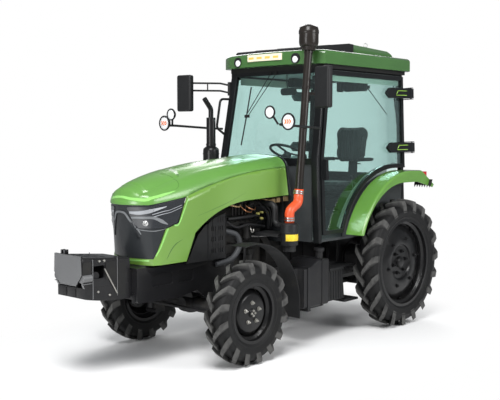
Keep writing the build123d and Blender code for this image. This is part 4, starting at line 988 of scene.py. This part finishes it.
outlines = []
for height in (915, 1510):
    corners = ((-300, 24), (-235, 24), (-170, 24), (-156, 0), (-142, -24), (-220, -24), (-300, -24))
    outlines.append(tube([on_door(u, height + v, cover_out(u) + 1) for u, v in corners], 0.0032, 6))
add_each("hinge_outlines", outlines, "door_body", hinge_lime)
crest, middle, foot = np.array([(-120, 694), (453, 513), (810, 60)])
t = np.linspace(0, 1, 25)[:, None]
bow = (crest + foot) / 2 - middle
edge_line = np.concatenate([[(-365, 694)], crest * (1 - t) + foot * t - bow * 4 * t * (1 - t)])
rubber_edge = tube([on_door(u + 6, v + 6, 2) for u, v in edge_line], 0.0085, 8)
pane_edge = ((1118, 102), (1118, 820), (978, 1656), (-326, 1656), (-326, 742), (-126, 742))
gasket = tube([on_door(u, v, -16) for u, v in pane_edge], 0.0035, 6)
add_each("door_rubber", [rubber_edge, gasket], "door_body", seal_black, 40)
lock = turned([(0.0001, 0.004), (0.011, 0.004), (0.013, 0.001), (0.013, -0.004)],
              on_door(1120, 660, 30), (0, 1, 0), 16)
add_each("door_lock", [lock], "door_body", bright_steel)
print("door fittings done")

# %% [markdown]
# ## The hose elbow, the filter and the engine's pipes
#
# Hoses and pipes are tubes along smooth paths. A clamp is a flat band round a hose, with a
# screw housing on one side.

# %% Hoses, clamps and pipes
def block(*corners):
    """A box between two corners given in millimetres."""
    return box(*places(corners))


def clamp(centre, direction, radius):
    """A steel band 14 mm wide with a small screw housing."""
    outer, half = radius + 0.0016, 0.007
    band = turned([(radius, -half), (outer, -half), (outer, half), (radius, half)], centre, direction, 36,
                  closed=True)
    across, up, _ = axes_along(direction)
    screw = tube([centre + across * (radius + 0.005) + up * d for d in (-0.014, 0.014)], 0.0055, 8)
    return joined([band, screw])


dress("intake_elbow", hose_red, 0.0)
PIPE_LEAN = (-0.196, 0, 0.98)
bands = [clamp(place(x, 620, z), direction, 0.0485) for x, z, direction in (
    (1600, 1240, (0, 0, 1)), (1600, 1262, (0, 0, 1)), (1459, 1508, PIPE_LEAN), (1463, 1488, PIPE_LEAN))]
add_parts("elbow_clamps", bands, "chassis", bright_steel, 40)
FILTER = place(1600, 620, 1046)
label_points, label_faces = turned([(0.0845, 0), (0.0852, 0.002), (0.0852, 0.068), (0.0845, 0.070)],
                                   FILTER, (0, 0, 1))
facing_side = (label_points[:, 1] - FILTER[1] > 0.02) & (label_points[:, 0] - FILTER[0] > -0.05)
add_piece("filter_label", label_points, [f for f in label_faces if facing_side[f].all()], "chassis",
          plain("label_yellow", (0.80, 0.58, 0.03), 0.4))

HOSES = (
    # (radius, finish, points in millimetres)
    (0.013, grained_black, ((2140, 300, 1244), (2006, 304, 1180), (1830, 300, 1193), (1577, 280, 1155))),
    (0.027, moulded("hose_grey", (0.035, 0.037, 0.040), 0.45),
     ((2124, 260, 1153), (2006, 305, 1107), (1973, 310, 994), (2073, 300, 885), (2242, 260, 850))),
    (0.016, grained_black, ((2090, 270, 1262), (1900, 296, 1268), (1660, 280, 1272))),
    (0.011, grained_black, ((1610, 262, 1400), (1560, 320, 1330), (1500, 300, 1210), (1470, 270, 1150))),
    (0.010, grained_black, ((1660, 262, 1400), (1610, 330, 1320), (1570, 330, 1230), (1520, 280, 1130))),
    (0.006, copper_pipe, ((1900, 262, 1370), (1870, 296, 1330), (1790, 290, 1310), (1730, 262, 1335))),
    (0.006, copper_pipe, ((1840, 262, 1380), (1810, 290, 1350), (1740, 296, 1330), (1690, 262, 1350))),
    (0.005, bright_steel, ((1750, 266, 1072), (1600, 300, 1060), (1470, 270, 1052))),
    (0.007, dull_zinc, ((1775, 270, 1166), (1800, 300, 1150), (1790, 306, 1120), (1760, 300, 1118),
                        (1748, 290, 1140))),
    (0.008, ochre_part, ((2050, 262, 1390), (1960, 285, 1372), (1900, 262, 1388))),
)
for number, (radius, finish, path) in enumerate(HOSES):
    add_piece(f"hose_{number + 1}", *tube(smooth_path(places(path)), radius), "chassis", finish, 60)
castings = [block((x - 28, 238, z - 20), (x + 28, 300, z + 24)) for x, z in (
    (1512, 1392), (1458, 1396), (1572, 1400), (1385, 1404), (1318, 1410), (1256, 1408))]
add_parts("inlet_castings", castings, "chassis", ochre_part)
CAP_PROFILE = [(0.0001, 0.012), (0.010, 0.012), (0.012, 0.008), (0.012, -0.02)]
caps = [turned(CAP_PROFILE, place(x, 300, z), (0, 1, 0), 12)
        for x, z in ((1634, 1300), (1548, 1295), (1634, 1240), (1690, 1290))]
add_parts("sensor_caps", caps, "chassis", plain("sensor_yellow", (0.45, 0.42, 0.12), 0.4))
fins = [block((x, 262, 1290), (x + 12, 274, 1380)) for x in range(1700, 1700 + 46 * 8, 46)]
studs = [standing(nut(0.016, 0.012, 0.010), place(x, 265, z), (0, 1, 0)) for x in range(1560, 2120, 70)
         for z in (1235, 1395)]
add_parts("engine_fins", fins + studs, "chassis", engine_metal, 30)
print("engine dressed")

# %% [markdown]
# ## Louvres, flaps and small steel
#
# The radiator's side screens have rows of short slots. The fender ends in a toothed rubber
# flap, and its teeth are one outline cut as a saw.

# %% Louvres, flaps and roof fittings
slots = []
for row, columns in ((1270, 3), (1150, 4), (1030, 4)):
    for x in range(2180, 2180 + 32 * columns, 32):
        slots += [block((x - 5, 297.5, row - 26), (x + 5, 300, row + 26)),
                  block((x + 6, 297.5, row - 26), (x + 8, 301, row + 26))]
ridges = [block((2318, 297, 930), (2324, 302, 1270)), block((2146, 297, 930), (2150, 304, 1320))]
add_pair("screen_louvres", slots + ridges, "chassis", seal_black)
teeth = [(-110, 0)]
for tooth in range(7):
    left = -110 + tooth * 220 / 7
    teeth += [(left + 6, -70), (left + 16, -98), (left + 26, -70)]
teeth += [(110, -60), (110, 0)]
flap = slab(np.array(teeth)[::-1] / 1000, place(-508, 835, 1560), (0, 1, 0), (-0.42, 0, 0.91), 0.006)
add_pair("mud_flaps", [flap], "chassis", seal_black)
deck = cast_onto("roof", [place(20, 395, 3300)], (0, 0, -1))[0][0, 2] * 1000
bolt_ring = turned([(0.024 + 0.005 * math.cos(a), 0.005 * math.sin(a)) for a in full_turn(8)],
                   place(20, 395, deck + 32), (0.4, 1, 0), 28, closed=True)
bolt_foot = turned([(0.0001, 0.02), (0.006, 0.02), (0.006, 0.006), (0.018, 0.004), (0.018, -0.004)],
                   place(20, 395, deck + 3), (0, 0, 1), 16)
add_pair("roof_eyes", [bolt_ring, bolt_foot], "chassis", bright_steel, 50)
dress("roof_light_bar", sign_cream, 0.003)
marks = [block((1274, y - 34, 2828), (1276.5, y + 34, 2850)) for y in (-165, -55, 55, 165)]
add_parts("light_bar_marks", marks, "chassis", plain("lamp_honey", (0.85, 0.50, 0.10), 0.3))
print("louvres, flaps and roof fittings done")

# %% [markdown]
# ## The weight bracket's side
#
# The bracket's cheek is drawn with flat recesses, a seam, a round spacer and a diagonal stay.

# %% Bracket relief
recesses = [block((x0, 187, z0), (x1, 188.6, z1))
            for x0, x1, z0, z1 in ((3624, 3712, 918, 1018), (3372, 3478, 852, 1000), (3268, 3348, 706, 984))]
add_pair("bracket_recesses", recesses, "chassis", seal_black)
ribs = [block((3609, 186, 704), (3615, 191, 1034)), block((3354, 186, 704), (3359, 191, 1034)),
        block((3620, 186, 836), (3718, 191, 842))]
stay = tube(places(((3492, 192, 946), (3362, 192, 726))), 0.006, 10)
spacer = turned([(0.0001, 0.048), (0.034, 0.048), (0.037, 0.045), (0.037, -0.045), (0.034, -0.048),
                 (0.0001, -0.048)], place(3667, 164, 882), (1, 0, 0), 32)
HEAD_PROFILE = [(0.0001, 0.008), (0.009, 0.008), (0.011, 0.005), (0.011, -0.004)]
heads = [turned(HEAD_PROFILE, place(x, 188, z), (0, 1, 0), 6)
         for x, z in ((3560, 760), (3440, 720), (3545, 1014), (3495, 1014))]
add_pair("bracket_ribs", ribs + [spacer], "chassis", plate_grey, 40)
add_pair("bracket_stays", heads + [stay], "chassis", dull_zinc, 40)
print("bracket relief done")

# %% [markdown]
# ## Inside the cab
#
# The cab shows through its glass, so it has a pale lining: panels beside the wheel arches, a
# headliner and blinds. A dark seal fills the line between the cab's frame and the roof.
# The arch panel is a sector of a ring about the rear wheel, so its edge is a circle's arc.

# %% Lining, seal and screens
lining = moulded("lining", (0.30, 0.36, 0.35), 0.6, 500, 0.05, 0.0)
blind = moulded("blind", (0.42, 0.50, 0.42), 0.7, 900, 0.08, 0.0)


def arch_panel(outer):
    """A flat sector between two radii about the arch's centre, on the left inside the door."""
    turn = np.radians(np.linspace(2, 66, 25))
    arc = np.stack([np.sin(turn), np.cos(turn)], axis=1)
    outline = np.concatenate([arc * outer, arc[::-1] * 0.86])
    return slab(outline, place(-120, 616, 696), (1, 0, 0), (0, 0, 1), 0.010, 0.003)


add_piece("arch_panel_left", *arch_panel(1.03), "chassis", lining, 40)
add_piece("arch_panel_right", *mirrored(arch_panel(1.12)), "chassis", lining, 40)
add_piece("roof_seal", *block((-402, -634, 2717), (1078, 634, 2758)), "chassis", seal_black)
add_piece("headliner", *block((-340, -596, 2690), (1030, 596, 2704)), "chassis", lining)
add_pair("side_blinds", [block((-320, 596, 2596), (960, 601, 2690))], "chassis", blind)
CONSOLES = (  # place in millimetres; width, height, depth and edge in metres
    (20, -430, 2640, 0.20, 0.11, 0.16, 0.012), (300, -300, 2634, 0.10, 0.10, 0.16, 0.012),
    (420, 250, 2650, 0.34, 0.075, 0.16, 0.012), (-380, 5, 2622, 0.30, 0.13, 0.06, 0.010),
    (-380, -215, 2622, 0.07, 0.13, 0.06, 0.010),
)
consoles = [slab(rounded_outline(wide, tall, 0.02), place(x, y, z), (0, 1, 0), (0, 0, 1), deep, edge)
            for x, y, z, wide, tall, deep, edge in CONSOLES]
add_parts("ceiling_boxes", consoles, "chassis", grained_black, 40)
mirror_pad = slab(rounded_outline(0.21, 0.075, 0.03), place(1015, 120, 2500), (0, -1, 0), (0.17, 0, 0.98),
                  0.016, 0.006)
mirror_stem = tube(places(((1022, 120, 2520), (1038, 120, 2600), (1040, 120, 2692))), 0.006, 8)
add_parts("inside_mirror", [mirror_pad, mirror_stem], "chassis", grained_black, 40)
print("lining done")

# %% [markdown]
# ## Wipers and struts
#
# A wiper is two thin arms from a pivot over the glass and a blade held on their ends. The rear
# window's gas strut is a thin rod in a thicker tube.

# %% Wipers and struts
def glass_x(z):
    """The windscreen's outer face, in millimetres, at a height."""
    return 1202 - (z - 1820) * 0.1719


def over_glass(gap, *line):
    """Points of a (y, z) line, each at a gap in millimetres before the windscreen."""
    return [place(glass_x(z) + gap, y, z) for y, z in line]


arms = [tube(over_glass(26, *ends), 0.0042, 8)
        for ends in (((-69, 2690), (-353, 2249)), ((8, 2690), (-318, 2255)))]
BLADE = ((-330, 2560), (-352, 2240), (-380, 1945))
spine, lip = tube(over_glass(16, *BLADE), 0.0055, 6), tube(over_glass(7, *BLADE), 0.003, 6)
hub_x = glass_x(2250)
hub = block((hub_x + 10, -362, 2236), (hub_x + 34, -308, 2266))
PIVOT_PROFILE = [(0.0001, 0.03), (0.014, 0.03), (0.017, 0.02), (0.017, -0.01)]
pivots = [turned(PIVOT_PROFILE, point, (1, 0, 0), 14) for point in over_glass(6, (-69, 2695), (8, 2695))]
add_parts("front_wiper", arms + [spine, lip, hub] + pivots, "chassis", seal_black, 40)
rear_blade = [tube(places(((-398, 136, 2600), (-398, 280, 2435), (-398, 410, 2285))), 0.005, 8),
              block((-404, 102, 2588), (-386, 170, 2622))]
add_parts("rear_wiper", rear_blade, "chassis", seal_black, 40)
strut = [tube(places(((-352, 520, 2600), (-340, 560, 2330))), 0.009, 10),
         tube(places(((-340, 560, 2330), (-330, 590, 2110))), 0.0045, 8)]
add_pair("window_struts", strut, "chassis", seal_black, 40)
handle_line = places(((-372, -70, 1720), (-350, -60, 1722), (-350, 60, 1722), (-372, 70, 1720)))
add_piece("rear_window_handle", *tube(smooth_path(handle_line), 0.007, 10), "chassis", grained_black, 40)
print("wipers and struts done")

# %% [markdown]
# ## Padded seat
#
# A pad is a flat cushion shape that is blown up a little. The shape is remeshed into small even
# cells, a cloth simulation with inner pressure swells it for twenty steps without gravity, and
# no point may move further than a cap. Channels are then pressed in as a sum of narrow grooves,
# depth = d * max(0, 1 - |u| / w), and a welt is sewn round the edge.

# %% Padded pieces
seat_cloth = Finish("seat_cloth", sheen_weight=0.35, sheen_roughness=0.5)
weave = seat_cloth.waves("Y", 190.0) * 0.5 + seat_cloth.waves("Z", 190.0) * 0.5
fleck = seat_cloth.noise(9, 4)
seat_cloth.feed("Base Color", seat_cloth.mix(weave * 0.5 + fleck * 0.5, (0.012, 0.015, 0.016),
                                             (0.040, 0.046, 0.048)))
seat_cloth.feed("Roughness", 0.78 + weave * 0.12)
seat_cloth.bump(weave, 0.35, 0.0012)
PRESSURE, CAP = 4.0, 0.022  # the air in a pad, and how far in metres a point may move


def evaluated(piece):
    """The piece's mesh with its modifiers worked out."""
    bpy.context.view_layer.update()
    return bpy.data.meshes.new_from_object(piece.evaluated_get(bpy.context.evaluated_depsgraph_get()))


def swell(name, shape):
    """Remesh a closed shape, blow it up as cloth, hold every point to the cap, and show the result."""
    piece = add_piece(name, *shape, "chassis", seat_cloth.material, 60)
    remesh = piece.modifiers.new("cells", "REMESH")
    remesh.mode, remesh.voxel_size = "VOXEL", 0.006
    piece.data = evaluated(piece)
    piece.modifiers.clear()
    start = points_of(piece.data)
    cloth = piece.modifiers.new("air", "CLOTH")
    cloth.settings.use_pressure, cloth.settings.uniform_pressure_force = True, PRESSURE
    cloth.settings.effector_weights.gravity = 0
    for step in range(1, 21):
        bpy.context.scene.frame_set(step)
    shift = points_of(evaluated(piece)) - start
    piece.modifiers.clear()
    bpy.context.scene.frame_set(1)
    far = np.linalg.norm(shift, axis=1, keepdims=True)
    held = start + shift * np.minimum(1, CAP / np.maximum(far, 1e-9))
    piece.data.vertices.foreach_set("co", held.ravel())
    piece.data.polygons.foreach_set("use_smooth", np.ones(len(piece.data.polygons), bool))
    return piece


def press_channels(piece, lines, along, inward, depth, width):
    """Press grooves into the face that looks away from inward, at places along one axis."""
    points = points_of(piece.data)
    normals = np.empty(len(points) * 3, np.float32)
    piece.data.vertices.foreach_get("normal", normals)
    facing = (-(normals.reshape(-1, 3) @ inward)).clip(0, 1)
    gap = np.abs(points[:, along, None] - np.asarray(lines)[None]).min(1)
    pressed = points + (depth * (1 - gap / width).clip(0, 1) * facing)[:, None] * inward
    piece.data.vertices.foreach_set("co", pressed.astype(np.float32).ravel())
    piece.data.update()


def welt(name, piece, ring_points):
    """A sewn cord on the pad: each point of a ring is moved to the pad's nearest surface."""
    tree = tree_of(piece.data)
    path = np.array([tree.find_nearest(p.tolist())[0] for p in ring_points])
    along = unit(np.roll(path, -1, axis=0) - np.roll(path, 1, axis=0))
    outward = path - path.mean(0)
    outward = unit(outward - (outward * along).sum(1)[:, None] * along)
    section = spokes(full_turn(6), outward[:, None], np.cross(along, outward)[:, None])
    faces = grid_faces(len(path), 6, wrap_rows=True, wrap_columns=True)
    return add_piece(name, path[:, None] + 0.0032 * section, faces, "chassis", seal_black, 60)


BACK_UP = np.array([-0.087, 0, 0.996])
BACK_OUT = np.array([0.996, 0, 0.087])
seat_outline = rounded_outline(0.385, 0.425, 0.075, 8)
back_outline = rounded_outline(0.440, 0.420, 0.095, 9)
back_outline[:, 0] *= 1 - 0.16 * ((0.05 - back_outline[:, 1]) / 0.28).clip(0, 1) ** 1.5
seat_base_point, back_base_point = place(3, 0, 1440), place(-318, 0, 1940)
seat_pad = swell("seat_pad", slab(seat_outline, seat_base_point, (1, 0, 0), (0, 1, 0), 0.066, 0.016))
back_pad = swell("back_pad", slab(back_outline, back_base_point, (0, 1, 0), BACK_UP, 0.056, 0.014))
press_channels(seat_pad, (-0.13, -0.045, 0.045, 0.13), 1, np.array([0, 0, -1.0]), 0.007, 0.010)
press_channels(back_pad, (-0.15, -0.10, -0.05, 0.0, 0.05, 0.10, 0.15), 1, -BACK_OUT, 0.008, 0.010)
for pad, name, outline, base, across, up, out in (
        (seat_pad, "seat_welt", seat_outline, seat_base_point, (1, 0, 0), (0, 1, 0), (0, 0, 0.048)),
        (back_pad, "back_welt", back_outline, back_base_point, (0, 1, 0), BACK_UP, BACK_OUT * 0.040)):
    around = outline[:, :1] * np.asarray(across) * 1.2 + outline[:, 1:] * np.asarray(up) * 1.2
    around = around + base + np.asarray(out)
    welt(name, pad, smooth_path(np.concatenate([around, around[:1]]), 3)[:-1])
    smoother = pad.modifiers.new("smooth", "SUBSURF")
    smoother.levels = smoother.render_levels = 1
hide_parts("seat_cushions")
print("pads:", len(seat_pad.data.polygons), len(back_pad.data.polygons))

# %% [markdown]
# ## Seat fittings and controls
#
# The armrests are moulded. A lever is a thin steel rod with a turned knob on its end.

# %% Armrests and levers
def lever(foot, head, knob=0.017, rod=0.006):
    """A steel rod with a knob: the rod as a tube, the knob as a turned drop."""
    profile = [(0.0001, 0.030), (knob * 0.7, 0.026), (knob, 0.012), (knob * 0.8, -0.010), (rod, -0.018)]
    return tube([foot, head], rod, 10), turned(profile, head, head - foot, 16)


rests = []
for y in (262, -262):
    rests += [slab(rounded_outline(0.27, 0.050, 0.02), place(-170, y, 1756), (1, 0, 0), (0, 1, 0), 0.040,
                   0.010), block((-330, y * 0.7, 1762), (-298, y * 1.06, 1790))]
add_parts("armrests", rests, "chassis", grained_black, 40)
levers = [lever(place(x, -430, 1440), place(x + lean, -425, z))
          for x, lean, z in ((60, 20, 1600), (140, 26, 1585), (220, 30, 1570))]
levers += [lever(place(250, 420, 1400), place(290, 410, 1590), 0.020)]
add_parts("lever_rods", [rod for rod, _ in levers], "chassis", bright_steel, 40)
add_parts("lever_knobs", [knob for _, knob in levers], "chassis", grained_black, 50)
print("armrests and levers done")

# %% [markdown]
# ## Floor, light and camera
#
# A pale floor and a white surround stand for a studio sweep. Large soft lamps keep the lacquer's
# highlights broad, and a lower one in front lights the black castings, which would otherwise
# be a silhouette. The camera stands ahead and to the left, at a standing person's height.

# %% Stage
# Near the machine the floor is a pale matt surface that shows the shadow. Away from it, and only
# to the camera, it is plain white, so that no horizon shows behind the machine.
sweep = Finish("studio_floor", roughness=0.85)
sweep.feed("Base Color", sweep.mix(sweep.noise(0.8, 2), (0.90, 0.90, 0.90), (0.92, 0.92, 0.92)))
along, aside = sweep.axis("X") / 3.0, sweep.axis("Y") / 2.1
apart = sweep.ramp((along * along + aside * aside).power(0.5), 0.62, 1.05)
to_camera = sweep.node("ShaderNodeLightPath", {}, {}, "Is Camera Ray")
white = sweep.node("ShaderNodeEmission", {}, {"Strength": 1.0})
sweep.surface(apart * to_camera, Wire(sweep, sweep.shader.outputs[0]), white)
floor_mesh = bpy.data.meshes.new("studio_floor")
floor_mesh.from_pydata([(-30, -30, 0), (30, -30, 0), (30, 30, 0), (-30, 30, 0)], [], [[0, 1, 2, 3]])
floor_mesh.materials.append(sweep.material)
link("studio_floor", floor_mesh)

world = bpy.data.worlds.new("studio")
bpy.context.scene.world = world
world.use_nodes = True
sky = Nodes(world.node_tree)
sky.tree.nodes.remove(sky.tree.nodes["Background"])
soft = sky.node("ShaderNodeBackground", {}, {"Color": (0.92, 0.96, 1.0), "Strength": 0.26})
seen = sky.node("ShaderNodeBackground", {}, {"Color": (1.0, 1.0, 1.0), "Strength": 1.0})
rays = sky.node("ShaderNodeLightPath", {}, {}, "Is Camera Ray")
sky.surface(rays, soft, seen, "World Output")


def stand(thing, at, behind):
    """Put a lamp or camera at a point, with its back towards a direction and its top up."""
    across, up, back = axes_along(behind)
    thing.matrix_world = Matrix([[across[i], up[i], back[i], at[i]] for i in range(3)] + [[0, 0, 0, 1]])


TARGET = (0.3, 0, 1.2)
for name, at, size, power in (("key", (4.5, 3.0, 7.0), 3.2, 620), ("side", (-1.5, 7.5, 4.0), 3.0, 300),
                              ("front", (8.5, 1.0, 2.4), 2.4, 230), ("rim", (-5.5, -4.0, 5.5), 4.0, 260)):
    data = bpy.data.lights.new(name, "AREA")
    data.shape, data.size, data.energy = "SQUARE", size, power
    stand(link(name, data), at, np.array(at) - TARGET)
print("stage set")

# %% [markdown]
# ## The camera
#
# The camera looks from ahead and to the left, a little downwards, with a long lens.

# %% Camera
HEADING, DROP = 0.7327, 0.0755  # radians: the turn of its sight from -X, and how far it looks down
camera_data = bpy.data.cameras.new("camera")
camera_data.lens, camera_data.sensor_width = 61.73, 36.0
camera_data.clip_start, camera_data.clip_end = 0.1, 200
camera = link("camera", camera_data)
eye = (6.4857, 5.8035, 2.0513)
stand(camera, eye, (math.cos(HEADING) * math.cos(DROP), math.sin(HEADING) * math.cos(DROP), math.sin(DROP)))
bpy.context.scene.camera = camera
bpy.context.scene.view_settings.view_transform = "Standard"
print("camera at", eye)
